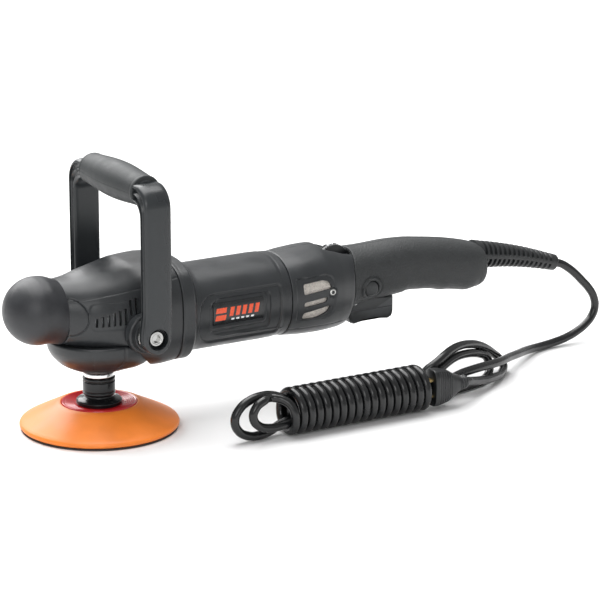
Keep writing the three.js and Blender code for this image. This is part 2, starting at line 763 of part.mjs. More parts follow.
// ---- Motor ----
function makeMotor(pinion) {
  const insideRadius = motorRadius - motorWall;
  const shell = loft(motorSections, around.fine).subtract(
    rod("x", insideRadius, motorStart - 1, motorEnd + 1, motorLine, around.fine),
  );
  const badgeMiddle = motorStart + 40;
  const pocketFace = -(motorRadius - badge.depth - touch - 0.4);
  const pocket = block(
    [badgeMiddle - badge.length / 2 - touch, -60, motorHeight - badge.height / 2 - touch],
    [badgeMiddle + badge.length / 2 + touch, pocketFace, motorHeight + badge.height / 2 + touch],
  );
  piece("body", "motor_housing", shell.subtract(pocket), "housing");
  piece(
    "body",
    "badge_plate",
    block(
      [badgeMiddle - badge.length / 2, pocketFace - touch - badge.depth, motorHeight - badge.height / 2],
      [badgeMiddle + badge.length / 2, pocketFace - touch, motorHeight + badge.height / 2],
    ),
    "badge",
  );

  const coreEnd = coreStart + coreLength;
  const fieldBore = armatureRadius + airGap;
  const coil = (grow) => {
    const inner = pipe(
      "x",
      fieldBore + 1 + coilDepth + grow,
      fieldBore + 1 - grow * 5,
      coreStart - coilOverhang - grow,
      coreEnd + coilOverhang + grow,
      motorLine,
    );
    const eye = block(
      [coreStart - 0.4 + grow, -10.5 + grow, -200],
      [coreEnd + 0.4 - grow, 10.5 - grow, 400],
    );
    return inner.subtract(eye);
  };
  const upper = block([0, -60, motorHeight + 5], [400, 60, motorHeight + 60]);
  const lower = block([0, -60, motorHeight - 60], [400, 60, motorHeight - 5]);
  piece("body", "field_coil_upper", coil(0).intersect(upper), "copper");
  piece("body", "field_coil_lower", coil(0).intersect(lower), "copper");
  const slots = coil(touch);
  const upperSlot = slots.intersect(block([0, -60, motorHeight + 5 - touch], [400, 60, motorHeight + 60]));
  const lowerSlot = slots.intersect(block([0, -60, motorHeight - 60], [400, 60, motorHeight - 5 + touch]));
  const ring = pipe("x", insideRadius - fieldInset, fieldBore, coreStart, coreEnd, motorLine, around.fine);
  piece("body", "field_core", ring.subtract(upperSlot).subtract(lowerSlot), "laminations");

  // Armature, front to back along the shaft.
  const rearBearingStart = motorEnd + 18;
  const shaftEnd = rearBearingStart + rearBearingWidth + 3;
  const shaft = turned("x", [
    [0, pinion.boreStart + touch],
    [shaftRadius - 1.5, pinion.boreStart + touch],
    [shaftRadius - 1.5, pinion.hubEnd + touch],
    [shaftRadius, pinion.hubEnd + touch],
    [shaftRadius, rearBearingStart - 1],
    [shaftRadius - 1, rearBearingStart - 1],
    [shaftRadius - 1, shaftEnd],
    [0, shaftEnd],
  ]).translate([0, 0, motorHeight]);
  piece("armature", "armature_shaft", shaft, "steel");
  const onShaft = shaftRadius + touch;
  // Laminated core with the wire bulging out of its slots at both ends, as one wound piece.
  const bulge = turned("x", [
    [onShaft, coreStart - windingReach],
    [armatureRadius - 4, coreStart - windingReach],
    [armatureRadius - 1.5, coreStart - windingReach / 2],
    [armatureRadius - 2.5, coreStart + 1],
    [onShaft, coreStart + 1],
    [onShaft, coreStart - windingReach],
  ]);
  const rearBulge = bulge.mirror([1, 0, 0]).translate([coreStart + coreEnd, 0, 0]);
  const core = pipe("x", armatureRadius, onShaft, coreStart, coreEnd, motorLine);
  const wound = joined([bulge, rearBulge]).translate([0, 0, motorHeight]);
  piece("armature", "armature_core", core.add(wound), "laminations");
  const commutatorStart = coreEnd + windingReach + touch;
  const commutatorEnd = commutatorStart + commutatorLength;
  const commutator = pipe("x", commutatorRadius, onShaft, commutatorStart, commutatorEnd, motorLine);
  piece("armature", "commutator", commutator, "copper");
  makeFan(coreStart - windingReach - touch - fanWidth, onShaft);
  makeBrushes((commutatorStart + commutatorEnd) / 2);

  // End frame: a spoked plate that holds the rear bearing inside the handle.
  const frameStart = commutatorEnd + 4;
  const plate = rod("x", insideRadius - 3, frameStart, frameStart + 3, motorLine);
  const hub = rod("x", rearBearingRadius + 3, frameStart, rearBearingStart + rearBearingWidth, motorLine);
  let frame = plate.add(hub);
  frame = frame.subtract(rod("x", shaftRadius + 2, frameStart - 1, shaftEnd, motorLine));
  frame = frame.subtract(
    rod(
      "x",
      rearBearingRadius + touch,
      rearBearingStart - touch,
      rearBearingStart + rearBearingWidth + 1,
      motorLine,
    ),
  );
  for (let i = 0; i < 4; i += 1) {
    const angle = (Math.PI / 2) * i + Math.PI / 4;
    const middle = (insideRadius - 3 + rearBearingRadius + 3) / 2;
    const centre = [middle * Math.cos(angle), motorHeight + middle * Math.sin(angle)];
    frame = frame.subtract(rod("x", 4.6, frameStart - 1, frameStart + 4, centre, around.coarse));
  }
  piece("body", "motor_end_frame", frame, "nylon");
  piece(
    "body",
    "motor_rear_bearing",
    pipe(
      "x",
      rearBearingRadius,
      shaftRadius - 1 + touch,
      rearBearingStart,
      rearBearingStart + rearBearingWidth,
      motorLine,
    ),
    "steel",
  );
}

function makeFan(start, bore) {
  const disc = rod("x", fanRadius, start + fanWidth - 2, start + fanWidth, motorLine);
  const hub = rod("x", bore + 4, start, start + fanWidth, motorLine);
  const blades = Array.from({ length: fanBlades }, (_, i) => {
    const geometry = new THREE.BoxGeometry(fanWidth - 1, fanRadius - bore - 3, 1.4);
    geometry.translate(start + (fanWidth - 1) / 2 + 0.5, (fanRadius + bore + 2) / 2, 0);
    geometry.rotateX((2 * Math.PI * i) / fanBlades);
    geometry.translate(0, 0, motorHeight);
    return solid(geometry);
  });
  const shaftHole = rod("x", bore, start - 1, start + fanWidth + 1, motorLine);
  const fan = joined([disc, hub, ...blades]).subtract(shaftHole);
  piece("armature", "cooling_fan", fan, "nylon");
}

function makeBrushes(x) {
  for (const [name, side] of [["left", -1], ["right", 1]]) {
    const near = commutatorRadius + touch;
    const brush = block(
      [x - brushWidth / 2, span(side, near, near + brushLength)[0], motorHeight - brushHeight / 2],
      [x + brushWidth / 2, span(side, near, near + brushLength)[1], motorHeight + brushHeight / 2],
    );
    piece("body", "carbon_brush_" + name, brush, "carbon");
    const holderNear = near + 2;
    const grow = touch + holderWall;
    const [low, high] = span(side, holderNear, holderNear + holderLength);
    const outside = block(
      [x - brushWidth / 2 - grow, low, motorHeight - brushHeight / 2 - grow],
      [x + brushWidth / 2 + grow, high, motorHeight + brushHeight / 2 + grow],
    );
    const inside = block(
      [x - brushWidth / 2 - touch, low - 1, motorHeight - brushHeight / 2 - touch],
      [x + brushWidth / 2 + touch, high + 1, motorHeight + brushHeight / 2 + touch],
    );
    piece("body", "brush_holder_" + name, outside.subtract(inside), "brass");
  }
}

// ---- Rear handle ----
const handleScrews = [
  { name: "handle_screw_front", side: -1, x: handleStart + 38.1, z: motorHeight + 2 },
  { name: "handle_screw_lower", side: 1, x: handleStart + 49.6, z: motorHeight - 25 },
  { name: "handle_screw_middle", side: 1, x: handleStart + 120.6, z: motorHeight + 6 },
  { name: "handle_screw_rear", side: 1, x: handleStart + 152.6, z: motorHeight + 2 },
];

function handleSolid(inset, startBy = inset) {
  return loft(shrunk(handleSections, inset, startBy, inset));
}

function makeHandle() {
  const whole = handleSolid(0);
  const coverZone = block([coverStart, -60, 0], [400, 60, 200]);
  const underCover = handleSolid(coverThickness + touch, 0);
  const outside = underCover.add(whole.subtract(coverZone));
  const hollow = handleSolid(handleWall + coverThickness + touch, -1);
  const frontHollow = handleSolid(handleWall, -1).subtract(block([coverStart - 6, -60, 0], [400, 60, 200]));
  const cavity = hollow.add(frontHollow);
  const coverZoneBack = block([coverStart + touch, -60, 0], [coverStart + 180, 60, 200]);
  const skin = whole.subtract(handleSolid(coverThickness, 0)).intersect(coverZoneBack);
  const openings = handleOpenings();
  for (const [name, side] of [["left", -1], ["right", 1]]) {
    const half = block(
      [0, ...flat(side, 0, splitGap / 2, 80, 0)],
      [400, ...flat(side, 1, splitGap / 2, 80, 200)],
    );
    let shell = outside.subtract(cavity);
    for (const screw of handleScrews) {
      shell = shell.add(rod("y", bossRadius, -30, 30, [screw.x, screw.z], around.coarse).intersect(outside));
    }
    shell = shell.intersect(half).subtract(openings);
    for (const screw of handleScrews) {
      shell = shell.subtract(screwRoom(screw));
    }
    piece("body", "handle_shell_" + name, shell, "housing");
    const cover = skin.intersect(half).subtract(openings).subtract(coverScrewRoom());
    piece("body", "grip_cover_" + name, cover, "grip");
    makeVentMesh(name, side);
  }
  for (const screw of handleScrews) {
    piece("body", screw.name, screwBody(screw, 0), "steel");
  }
}

// Low or high corner of a half space on one side of the middle plane.
function flat(side, high, near, far, z) {
  return [span(side, near, far)[high], z];
}

function surfaceAt(x, z, side) {
  const sections = handleSections;
  const next = Math.max(1, sections.findIndex((s) => s.x >= x));
  const a = sections[next - 1];
  const b = sections[next];
  const t = (x - a.x) / (b.x - a.x);
  const mix = (key) => a[key] + (b[key] - a[key]) * t;
  const rise = Math.min(1, Math.abs(z - mix("z")) / mix("h"));
  return side * mix("w") * (1 - rise ** mix("n")) ** (1 / mix("n"));
}

function screwBody(screw, grow) {
  const face = Math.abs(surfaceAt(screw.x, screw.z, 1)) - 1.2;
  const headIn = face - screwHeadHeight - grow;
  const headOut = grow > 0 ? 60 : face;
  const tip = -14 - grow;
  const centre = [screw.x, screw.z];
  const head = rod("y", screwHeadRadius + grow, ...span(screw.side, headIn, headOut), centre, around.coarse);
  const shank = rod(
    "y",
    screwRadius + grow,
    ...(screw.side > 0 ? [tip, headIn + 0.5] : [-headIn - 0.5, -tip]),
    centre,
    around.coarse,
  );
  return head.add(shank);
}

function screwRoom(screw) {
  return screwBody(screw, touch);
}

function coverScrewRoom() {
  return joined(handleScrews.map((screw) => screwRoom(screw)));
}

function handleOpenings() {
  const triggerSlot = block(
    [triggerStart - 1, -slotHalfWidth, 40],
    [triggerStart + triggerLength + 2.5, slotHalfWidth, triggerTop + triggerRise],
  );
  const dialSlot = rod(
    "y",
    dialRadius + dialClearance,
    -dialWidth / 2 - dialClearance,
    dialWidth / 2 + dialClearance,
    [dialCentre.x, dialCentre.z],
  );
  const lockHole = rod("y", lockOnRadius + buttonClearance, -60, 0, [lockOnAt.x, lockOnAt.z], around.coarse);
  const vents = windows.map(({ rise, height }) =>
    block(
      [windowStart, -60, motorHeight + rise - height / 2],
      [windowStart + windowLength, 60, motorHeight + rise + height / 2],
    ),
  );
  const pinHalf = slotHalfWidth + triggerPinGrip + touch;
  const pinAt = [triggerStart + triggerPinInset, triggerPivotHeight];
  const pinHole = rod("y", triggerPivotRadius + touch, -pinHalf, pinHalf, pinAt, around.coarse);
  const relief = reliefSolid(touch, touch);
  return joined([triggerSlot, dialSlot, lockHole, pinHole, ...vents, relief]);
}

function makeVentMesh(name, side) {
  const outer = handleSolid(handleWall + touch, 0);
  const inner = handleSolid(handleWall + touch + meshThickness, -1);
  const [low, high] = span(side, 10, 60);
  const patch = block(
    [windowStart - 2, low, motorHeight - meshHalfHeight],
    [windowStart + windowLength + 0.5, high, motorHeight + meshHalfHeight],
  );
  piece("body", "vent_mesh_" + name, outer.subtract(inner).intersect(patch), "mesh");
}

// Strain relief: a ribbed boot with a flange held inside the handle's tail.
function reliefDirection() {
  const start = new THREE.Vector3(handleStart + 192.6, 0, motorHeight + 4.5);
  const end = new THREE.Vector3(cordExit.x, 0, cordExit.z);
  return { start, end, length: start.distanceTo(end), slope: Math.atan2(end.z - start.z, end.x - start.x) };
}

function reliefSolid(grow, inside) {
  const { start, length, slope } = reliefDirection();
  const collar = 8;
  const profile = [
    [0, -collar - inside],
    [reliefFlange + grow - 2.5, -collar - inside],
    [reliefFlange + grow - 2.5, -collar + 4 + inside],
    [reliefBaseRadius + grow - 1.6, -collar + 4 + inside],
    [reliefBaseRadius + grow, 6],
    [reliefTipRadius + grow, length - touch],
    [0, length - touch],
  ];
  return turned("x", profile, 24)
    .rotate([0, (-slope * 180) / Math.PI, 0])
    .translate([start.x, start.y, start.z]);
}

function makeHandleInside() {
  const switchBottom = triggerTop + switchGap;
  piece(
    "body",
    "trigger_switch",
    block(
      [triggerStart + 5, -switchSize.width / 2, switchBottom],
      [triggerStart + 5 + switchSize.length, switchSize.width / 2, switchBottom + switchSize.height],
    ),
    "carbon",
  );
  const boardStart = dialCentre.x - 11.5;
  const boardTop = dialCentre.z - dialRadius - 1.5;
  piece(
    "body",
    "speed_control_board",
    block(
      [boardStart, -boardSize.width / 2, boardTop - boardSize.thickness],
      [boardStart + boardSize.length, boardSize.width / 2, boardTop],
    ),
    "board",
  );
  piece("body", "strain_relief", reliefSolid(0, 0), "rubber");
  const clampEnd = clampSize.start + clampSize.length;
  const clampMiddle = motorHeight + 4;
  const clamp = block(
    [clampSize.start, -clampSize.halfWidth, clampMiddle - clampSize.height / 2],
    [clampEnd, clampSize.halfWidth, clampMiddle + clampSize.height / 2],
  );
  const cordHole = rod("x", cordRadius, clampSize.start - 20, clampEnd + 11, [0, clampMiddle], around.coarse);
  const cordEntry = block(
    [clampSize.start - 20, -60, clampMiddle + 1],
    [clampEnd + 11, -cordRadius, clampMiddle + 10],
  );
  piece("body", "cord_clamp", clamp.subtract(cordHole).subtract(cordEntry), "nylon");
}

function makeTrigger() {
  const end = triggerStart + triggerLength;
  const half = slotHalfWidth - triggerSide;
  const middle = triggerStart + triggerLength / 2;
  const shape = new THREE.Shape();
  shape.moveTo(triggerStart, triggerTop);
  shape.lineTo(triggerStart, triggerBottom + 5);
  shape.quadraticCurveTo(triggerStart + 0.5, triggerBottom, triggerStart + 6, triggerBottom);
  shape.quadraticCurveTo(middle, triggerBottom + 3.4, end - 5, triggerBottom + 0.2);
  shape.quadraticCurveTo(end - 0.4, triggerBottom + 1, end, triggerBottom + 6);
  shape.lineTo(end, triggerTop - 3);
  shape.lineTo(end - 8, triggerTop - 3);
  shape.lineTo(end - 12, triggerTop);
  shape.closePath();
  const pinHalf = slotHalfWidth + triggerPinGrip;
  const pinAt = [triggerStart + triggerPinInset, triggerPivotHeight];
  const pivot = rod("y", triggerPivotRadius, -pinHalf, pinHalf, pinAt, around.coarse);
  const pivotHole = rod("y", triggerPivotRadius + runningGap, -60, 60, pinAt, around.coarse);
  const body = plateY(shape, -half, half, 6).subtract(pivotHole);
  piece("trigger", "trigger", body, "housing");
  piece("body", "trigger_pin", pivot, "steel");
  makeTriggerSpring();
}

function makeTriggerSpring() {
  const x = triggerStart + triggerLength * springPlace;
  const bottom = triggerTop + touch + springWire;
  const height = switchGap - touch * 2 - springWire * 2;
  const steps = springTurns * 8;
  const points = Array.from({ length: steps + 1 }, (_, i) => {
    const angle = (2 * Math.PI * i) / 8;
    const across = springRadius * Math.sin(angle);
    return new THREE.Vector3(x + springRadius * Math.cos(angle), across, bottom + (height * i) / steps);
  });
  piece("trigger", "trigger_spring", tube(new THREE.CatmullRomCurve3(points), springWire, 4, steps), "steel");
}

function makeButtonsAndDial() {
  const face = Math.abs(surfaceAt(lockOnAt.x, lockOnAt.z, -1));
  const cap = rod("y", lockOnRadius, -face - 0.6, -face + 4.4, [lockOnAt.x, lockOnAt.z], around.round);
  const stem = rod("y", 3, -face + 4, -face + lockOnStem, [lockOnAt.x, lockOnAt.z], around.coarse);
  piece("lockOn", "lock_on_button", cap.add(stem), "housing");

  const ridges = 24;
  const wheel = Array.from({ length: ridges * 2 }, (_, i) => {
    const angle = (Math.PI * i) / ridges;
    const radius = i % 2 ? dialRadius : dialRadius - 0.7;
    return [radius * Math.cos(angle), radius * Math.sin(angle)];
  });
  const dial = plateY(outline(wheel), -dialWidth / 2, dialWidth / 2);
  piece("dial", "speed_dial", dial.translate([dialCentre.x, 0, dialCentre.z]), "housing");

  const outer = headSideAt(0);
  const out = outer + lockStandoff;
  const tip = spindleTopRadius + touch + lockTravel - lockNotch;
  const pin = rod("y", lockPinRadius, tip, out - 2, [0, lockHeight], around.coarse);
  const knobIn = castingRadius + lockTravel + touch;
  const knob = rod("y", lockButtonRadius, knobIn, out, [0, lockHeight], around.round);
  piece("spindleLock", "spindle_lock_button", pin.add(knob), "housing");
}

function headSideAt(x) {
  const next = headSections.findIndex((s) => s.x > x);
  const a = headSections[next - 1];
  const b = headSections[next];
  const t = (x - a.x) / (b.x - a.x);
  return a.w + (b.w - a.w) * t;
}

// ---- Loop bail ----
function makeBail() {
  const out = bailSpan / 2 + legThickness / 2;
  const inside = bailSpan / 2 - legThickness / 2;
  const top = barHeight + barDepth / 2;
  const shape = new THREE.Shape();
  shape.moveTo(-out, bailPivot.z);
  shape.lineTo(-out, top - bailCorner);
  shape.absarc(-out + bailCorner, top - bailCorner, bailCorner, Math.PI, Math.PI / 2, true);
  shape.lineTo(out - bailCorner, top);
  shape.absarc(out - bailCorner, top - bailCorner, bailCorner, Math.PI / 2, 0, true);
  shape.lineTo(out, bailPivot.z);
  shape.lineTo(inside, bailPivot.z);
  const under = barHeight - barDepth / 2;
  const innerCorner = 12;
  shape.lineTo(inside, under - innerCorner);
  shape.absarc(inside - innerCorner, under - innerCorner, innerCorner, 0, Math.PI / 2, false);
  shape.lineTo(-inside + innerCorner, under);
  shape.absarc(-inside + innerCorner, under - innerCorner, innerCorner, Math.PI / 2, Math.PI, false);
  shape.lineTo(-inside, bailPivot.z);
  shape.closePath();
  let frame = plateX(shape, barX - legWidth / 2, barX + legWidth / 2, 6);
  const gripHalf = gripLength / 2;
  const gripZone = block([-40, -gripHalf - touch, under - 20], [80, gripHalf + touch, top + 20]);
  frame = frame.subtract(gripZone).add(rod("y", barRadius, -gripHalf - 2, gripHalf + 2, [barX, barHeight]));
  const pivot = [bailPivot.x, bailPivot.z];
  for (const side of [-1, 1]) {
    const foot = rod("y", footRadius, ...span(side, inside, out), pivot);
    const blend = block(
      [bailPivot.x - footRadius + 1, span(side, inside, out)[0], bailPivot.z],
      [bailPivot.x + footRadius - 1, span(side, inside, out)[1], bailPivot.z + footRadius],
    );
    frame = frame.add(foot).add(blend);
    frame = frame.subtract(rod("y", boltRadius + touch, ...span(side, inside - 1, out + 1), pivot));
    frame = frame.subtract(rod("y", boltRecessRadius, ...span(side, out - boltRecessDepth, out + 1), pivot));
  }
  piece("bail", "bail_frame", frame, "housing");

  const swell = (share) => gripEndRadius + (gripRadius - gripEndRadius) * Math.cos((share * Math.PI) / 2);
  const profile = [[0, -gripHalf], [gripEndRadius - 1.5, -gripHalf]];
  for (let i = -3; i <= 3; i += 1) {
    profile.push([swell(i / 3.3), (i / 3.1) * gripHalf]);
  }
  profile.push([gripEndRadius - 1.5, gripHalf], [0, gripHalf]);
  const grip = turned("y", profile).translate([barX, 0, barHeight]);
  const bore = rod("y", barRadius + touch, -gripHalf - 1, gripHalf + 1, [barX, barHeight]);
  piece("bail", "bail_grip", grip.subtract(bore), "grip");

  for (const [name, side] of [["left", -1], ["right", 1]]) {
    const washerNear = bossEnd + touch;
    const washer = pipe(
      "y",
      washerRadius,
      boltRadius + touch,
      ...span(side, washerNear, washerNear + washerThickness),
      pivot,
    );
    piece("body", "bail_washer_" + name, washer, "steel");
    const headNear = out - boltRecessDepth + touch;
    const head = rod("y", boltHeadRadius, ...span(side, headNear, headNear + boltHeadHeight), pivot);
    const shank = rod("y", boltRadius, ...span(side, headNear - boltLength, headNear + 0.5), pivot);
    const socketOut = headNear + boltHeadHeight;
    const socket = rod("y", 3.4, ...span(side, socketOut - 3.5, socketOut + 1), pivot, 6);
    piece("body", "bail_bolt_" + name, head.add(shank).subtract(socket), "chrome");
  }
}

// ---- Cord, hank and plug ----
const leadPoints = [
  [429.4, 0, 72],
  [435.5, -0.2, 70.3],
  [442.6, -0.6, 66],
  [449.8, -0.9, 60.2],
  [457.2, -1.2, 52.8],
  [464.4, -1.6, 45],
  [469.4, -2, 36.6],
  [470.6, -2.4, 28.4],
  [467.4, -3, 20.8],
  [460.6, -3.6, 14.6],
  [451.2, -4.4, 9.8],
  [440, -5.2, 6.3],
  [427, -6.2, 4.3],
  [413, -8.6, 3.8],
  [399, -13.6, 4.8],
  [385.4, -22.4, 7.2],
  [370, -34.4, 10.2],
  [353, -47.2, 13.4],
  [334, -61.8, 16.6],
].map((p) => new THREE.Vector3(...p));

// The hank's loops: what they cover seen from above, and from the side.
const rightLoopsPlan = [
  [236, -78], [262, -68], [300, -50], [340, -33], [355, -33],
  [356, -42], [347, -56], [326, -73], [300, -88], [277, -95], [236, -95],
];
const rightLoopsSide = [
  [236, 33], [262, 40.5], [295, 41], [325, 33], [354, 14], [354, 0.6], [285, 0.6], [236, 6],
];
const leftLoopsSide = [
  [116, 33], [108, 36], [93, 38.4], [78, 35], [66, 27], [64, 19], [66, 10], [78, 2], [90, 0.6], [116, 4],
];
const leftLoops = { near: -105, far: -86 };

function makeCord() {
  const route = new THREE.CatmullRomCurve3(leadPoints);
  piece("cord", "cord_lead", tube(route, cordRadius, 8, 20), "cord");

  const leadRoom = new THREE.CatmullRomCurve3([...leadPoints, new THREE.Vector3(332.4, -63, 16.9)]);

  const centre = [windingCentre.y, windingCentre.z];
  const winding = rod("x", windingRadius, windingStart, windingEnd, centre, 24);
  const plugRoom = block(
    [plugStart - touch, plugCentre.y - 20, plugCentre.z - plugHeight / 2 - touch],
    [
      plugStart + plugLength + touch,
      plugCentre.y + plugThickness / 2 + touch * 2,
      plugCentre.z + plugHeight / 2 + touch,
    ],
  ).add(
    block(
      [plugStart - bladeLength - 1, plugCentre.y - 4, plugCentre.z - bladeSpacing / 2 - 1.4],
      [plugStart, plugCentre.y + 4, plugCentre.z + bladeSpacing / 2 + 1.4],
    ),
  );
  const rightLoops = plateZ(outline(rightLoopsPlan), 0, 60).intersect(
    plateY(outline(rightLoopsSide), -110, -20),
  );
  const hank = winding
    .add(plateY(outline(leftLoopsSide), leftLoops.near, leftLoops.far))
    .add(rightLoops)
    .subtract(plugRoom)
    .subtract(tube(leadRoom, cordRadius + touch * 2, 8, 20));
  piece("cord", "cord_hank", hank, "cord");

  // A flat two-blade plug, its blades moulded into the body one above the other.
  const half = plugThickness / 2;
  const bodyOutline = [
    [plugStart, -plugHeight / 2],
    [plugStart + plugLength * 0.4, -plugHeight / 2 + 1],
    [plugStart + plugLength * 0.75, -plugNarrow],
    [plugStart + plugLength, -plugNarrow + 1],
    [plugStart + plugLength, plugNarrow - 1],
    [plugStart + plugLength * 0.75, plugNarrow],
    [plugStart + plugLength * 0.4, plugHeight / 2 - 1],
    [plugStart, plugHeight / 2],
  ].map(([x, z]) => [x, plugCentre.z + z]);
  const plug = plateY(outline(bodyOutline), plugCentre.y - half, plugCentre.y + half);
  const blades = [-bladeSpacing / 2, bladeSpacing / 2].map((rise) =>
    block(
      [plugStart - bladeLength, plugCentre.y - 3.2, plugCentre.z + rise - 0.8],
      [plugStart + 1, plugCentre.y + 3.2, plugCentre.z + rise + 0.8],
    ),
  );
  piece("cord", "plug_body", joined([plug, ...blades]), "cord");
}

makePad();
const spindle = makeHubAndSpindle();
const crown = makeCrownGear();
const pinion = makePinion();
makeHead(spindle.rimTop, crown.bottom);
makeFlange();
makeMotor(pinion);
makeHandle();
makeHandleInside();
makeTrigger();
makeButtonsAndDial();
makeBail();
makeCord();

export default polisher;
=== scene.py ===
"""A corded rotary polisher with a loop handle, standing on its backing pad.

Every size below is in millimetres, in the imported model's frame: the origin is the centre of
the pad's hook face, +Z runs up the spindle and +X back along the motor to the cord.
"""

import math

import bmesh
import bpy
import numpy as np
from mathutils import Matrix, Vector


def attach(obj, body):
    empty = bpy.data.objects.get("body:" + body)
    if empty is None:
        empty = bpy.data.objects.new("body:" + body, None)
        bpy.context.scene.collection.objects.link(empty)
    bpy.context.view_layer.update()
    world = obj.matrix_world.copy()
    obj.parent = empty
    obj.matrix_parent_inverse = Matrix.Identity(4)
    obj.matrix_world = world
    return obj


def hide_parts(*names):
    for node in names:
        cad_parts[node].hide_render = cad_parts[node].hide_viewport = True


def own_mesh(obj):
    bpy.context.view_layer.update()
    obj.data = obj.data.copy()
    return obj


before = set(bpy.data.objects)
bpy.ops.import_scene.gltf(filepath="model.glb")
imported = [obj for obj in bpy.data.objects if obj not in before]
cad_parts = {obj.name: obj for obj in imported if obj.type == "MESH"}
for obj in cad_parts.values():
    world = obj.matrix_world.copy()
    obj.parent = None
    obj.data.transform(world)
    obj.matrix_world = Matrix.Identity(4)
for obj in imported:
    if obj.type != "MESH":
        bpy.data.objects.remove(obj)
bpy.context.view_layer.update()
MM = 0.001

# Camera. A long lens from the operator's left and a little above, so that the tool, its loop
# handle and the wound cord are all in view.
azimuth, elevation, distance = math.radians(-30.65), math.radians(16.08), 2590.5
aim = Vector((179.94, -2.66, 76.53))
towards = Vector(
    (
        math.sin(azimuth) * math.cos(elevation),
        -math.cos(azimuth) * math.cos(elevation),
        math.sin(elevation),
    )
)
lens = bpy.data.cameras.new("camera")
lens.lens, lens.sensor_width = 194.36, 36.0
lens.clip_end = 20.0
camera = bpy.data.objects.new("camera", lens)
camera.location = (aim + towards * distance) * MM
camera.rotation_euler = towards.to_track_quat("Z", "Y").to_euler()
bpy.context.collection.objects.link(camera)
bpy.context.scene.camera = camera
bpy.context.scene.view_settings.view_transform = "Standard"

# Floor and light. A pale sheet of card under one broad overhead softbox, a weaker one at the
# operator's side and an even pale surround.
card = bpy.data.materials.new("pale_card")
card.use_nodes = True
card.node_tree.nodes["Principled BSDF"].inputs["Base Color"].default_value = (0.86, 0.86, 0.86, 1)
card.node_tree.nodes["Principled BSDF"].inputs["Roughness"].default_value = 0.8
half_floor = 6.0
floor_mesh = bpy.data.meshes.new("floor")
corners = [
    (-half_floor, -half_floor, 0), (half_floor, -half_floor, 0), (half_floor, half_floor, 0),
    (-half_floor, half_floor, 0),
]
floor_mesh.from_pydata(corners, [], [(0, 1, 2, 3)])
floor_mesh.materials.append(card)
floor = bpy.data.objects.new("floor", floor_mesh)
bpy.context.collection.objects.link(floor)

surround = bpy.data.worlds.new("surround")
surround.use_nodes = True
surround.node_tree.nodes["Background"].inputs["Color"].default_value = (1.0, 1.0, 1.0, 1)
surround.node_tree.nodes["Background"].inputs["Strength"].default_value = 0.5
bpy.context.scene.world = surround

for name, place, size, power in [
    ("overhead_softbox", (100, 250, 1500), 1400, 30.0),
    ("side_softbox", (-900, -1500, 900), 900, 8.0),
    ("backdrop_softbox", (0, 3300, 2600), 3000, 150.0),
]:
    light = bpy.data.lights.new(name, "AREA")
    light.size, light.energy = size * MM, power
    lamp = bpy.data.objects.new(name, light)
    lamp.location = Vector(place) * MM
    lamp.rotation_euler = (Vector(place) - aim).to_track_quat("Z", "Y").to_euler()
    bpy.context.collection.objects.link(lamp)


# Mains cord. Black vinyl over two cores, 7 mm across. It leaves the strain relief, drops to
# the floor, and is wound up beside the tool: three runs side by side, bound by seventeen turns
# of its own length, with two loops at each end and the plug tucked against the last turn.
def finish(
    name, colour, roughness, metallic=0.0, mottle=0.15, patch=9.0, grain=0.0, grain_size=0.5, worn=None,
    wear=0.0, streaks=None,
):
    """Makes a material: patches of tone, a fine grain in the surface, and corners rubbed lighter."""
    material = bpy.data.materials.new(name)
    material.use_nodes = True
    nodes, links = material.node_tree.nodes, material.node_tree.links
    shader = nodes["Principled BSDF"]
    shader.inputs["Metallic"].default_value = metallic
    where = nodes.new("ShaderNodeTexCoord")

    def noise(size, detail, stretch=None):
        texture = nodes.new("ShaderNodeTexNoise")
        texture.inputs["Scale"].default_value = 1.0 / (size * MM)
        texture.inputs["Detail"].default_value = detail
        if stretch:
            stretched = nodes.new("ShaderNodeMapping")
            stretched.inputs["Scale"].default_value = stretch
            links.new(where.outputs["Object"], stretched.inputs["Vector"])
            links.new(stretched.outputs["Vector"], texture.inputs["Vector"])
        else:
            links.new(where.outputs["Object"], texture.inputs["Vector"])
        return texture

    def ramp(source, low, high, from_low, from_high):
        node = nodes.new("ShaderNodeMapRange")
        node.inputs["From Min"].default_value, node.inputs["From Max"].default_value = from_low, from_high
        node.inputs["To Min"].default_value, node.inputs["To Max"].default_value = low, high
        links.new(source, node.inputs["Value"])
        return node.outputs["Result"]

    def blend(share, first, second):
        node = nodes.new("ShaderNodeMix")
        node.data_type = "RGBA"
        for socket, value in (("Factor_Float", share), ("A_Color", first), ("B_Color", second)):
            slot = next(s for s in node.inputs if s.identifier == socket)
            if isinstance(value, bpy.types.NodeSocket):
                links.new(value, slot)
            else:
                slot.default_value = (*value, 1)
        return next(s for s in node.outputs if s.identifier == "Result_Color")

    patches = noise(patch, 3.0, streaks)
    dark = tuple(c * (1 - mottle) for c in colour)
    light = tuple(min(1.0, c * (1 + mottle)) for c in colour)
    tone = blend(ramp(patches.outputs["Fac"], 0, 1, 0.3, 0.7), dark, light)
    if worn:
        shape = nodes.new("ShaderNodeNewGeometry")
        rubbed = ramp(shape.outputs["Pointiness"], 0, wear, 0.52, 0.62)
        tone = blend(rubbed, tone, worn)
    links.new(tone, shader.inputs["Base Color"])
    links.new(
        ramp(patches.outputs["Fac"], roughness - 0.06, roughness + 0.06, 0.3, 0.7),
        shader.inputs["Roughness"],
    )
    if grain:
        pits = noise(grain_size, 2.0, streaks)
        bump = nodes.new("ShaderNodeBump")
        bump.inputs["Distance"].default_value = grain * MM
        bump.inputs["Strength"].default_value = 1.0
        links.new(pits.outputs["Fac"], bump.inputs["Height"])
        links.new(bump.outputs["Normal"], shader.inputs["Normal"])
    return material


vinyl = finish(
    "cord_vinyl", (0.005, 0.0055, 0.006), 0.24, mottle=0.25, patch=14, grain=0.05, grain_size=2.5,
)

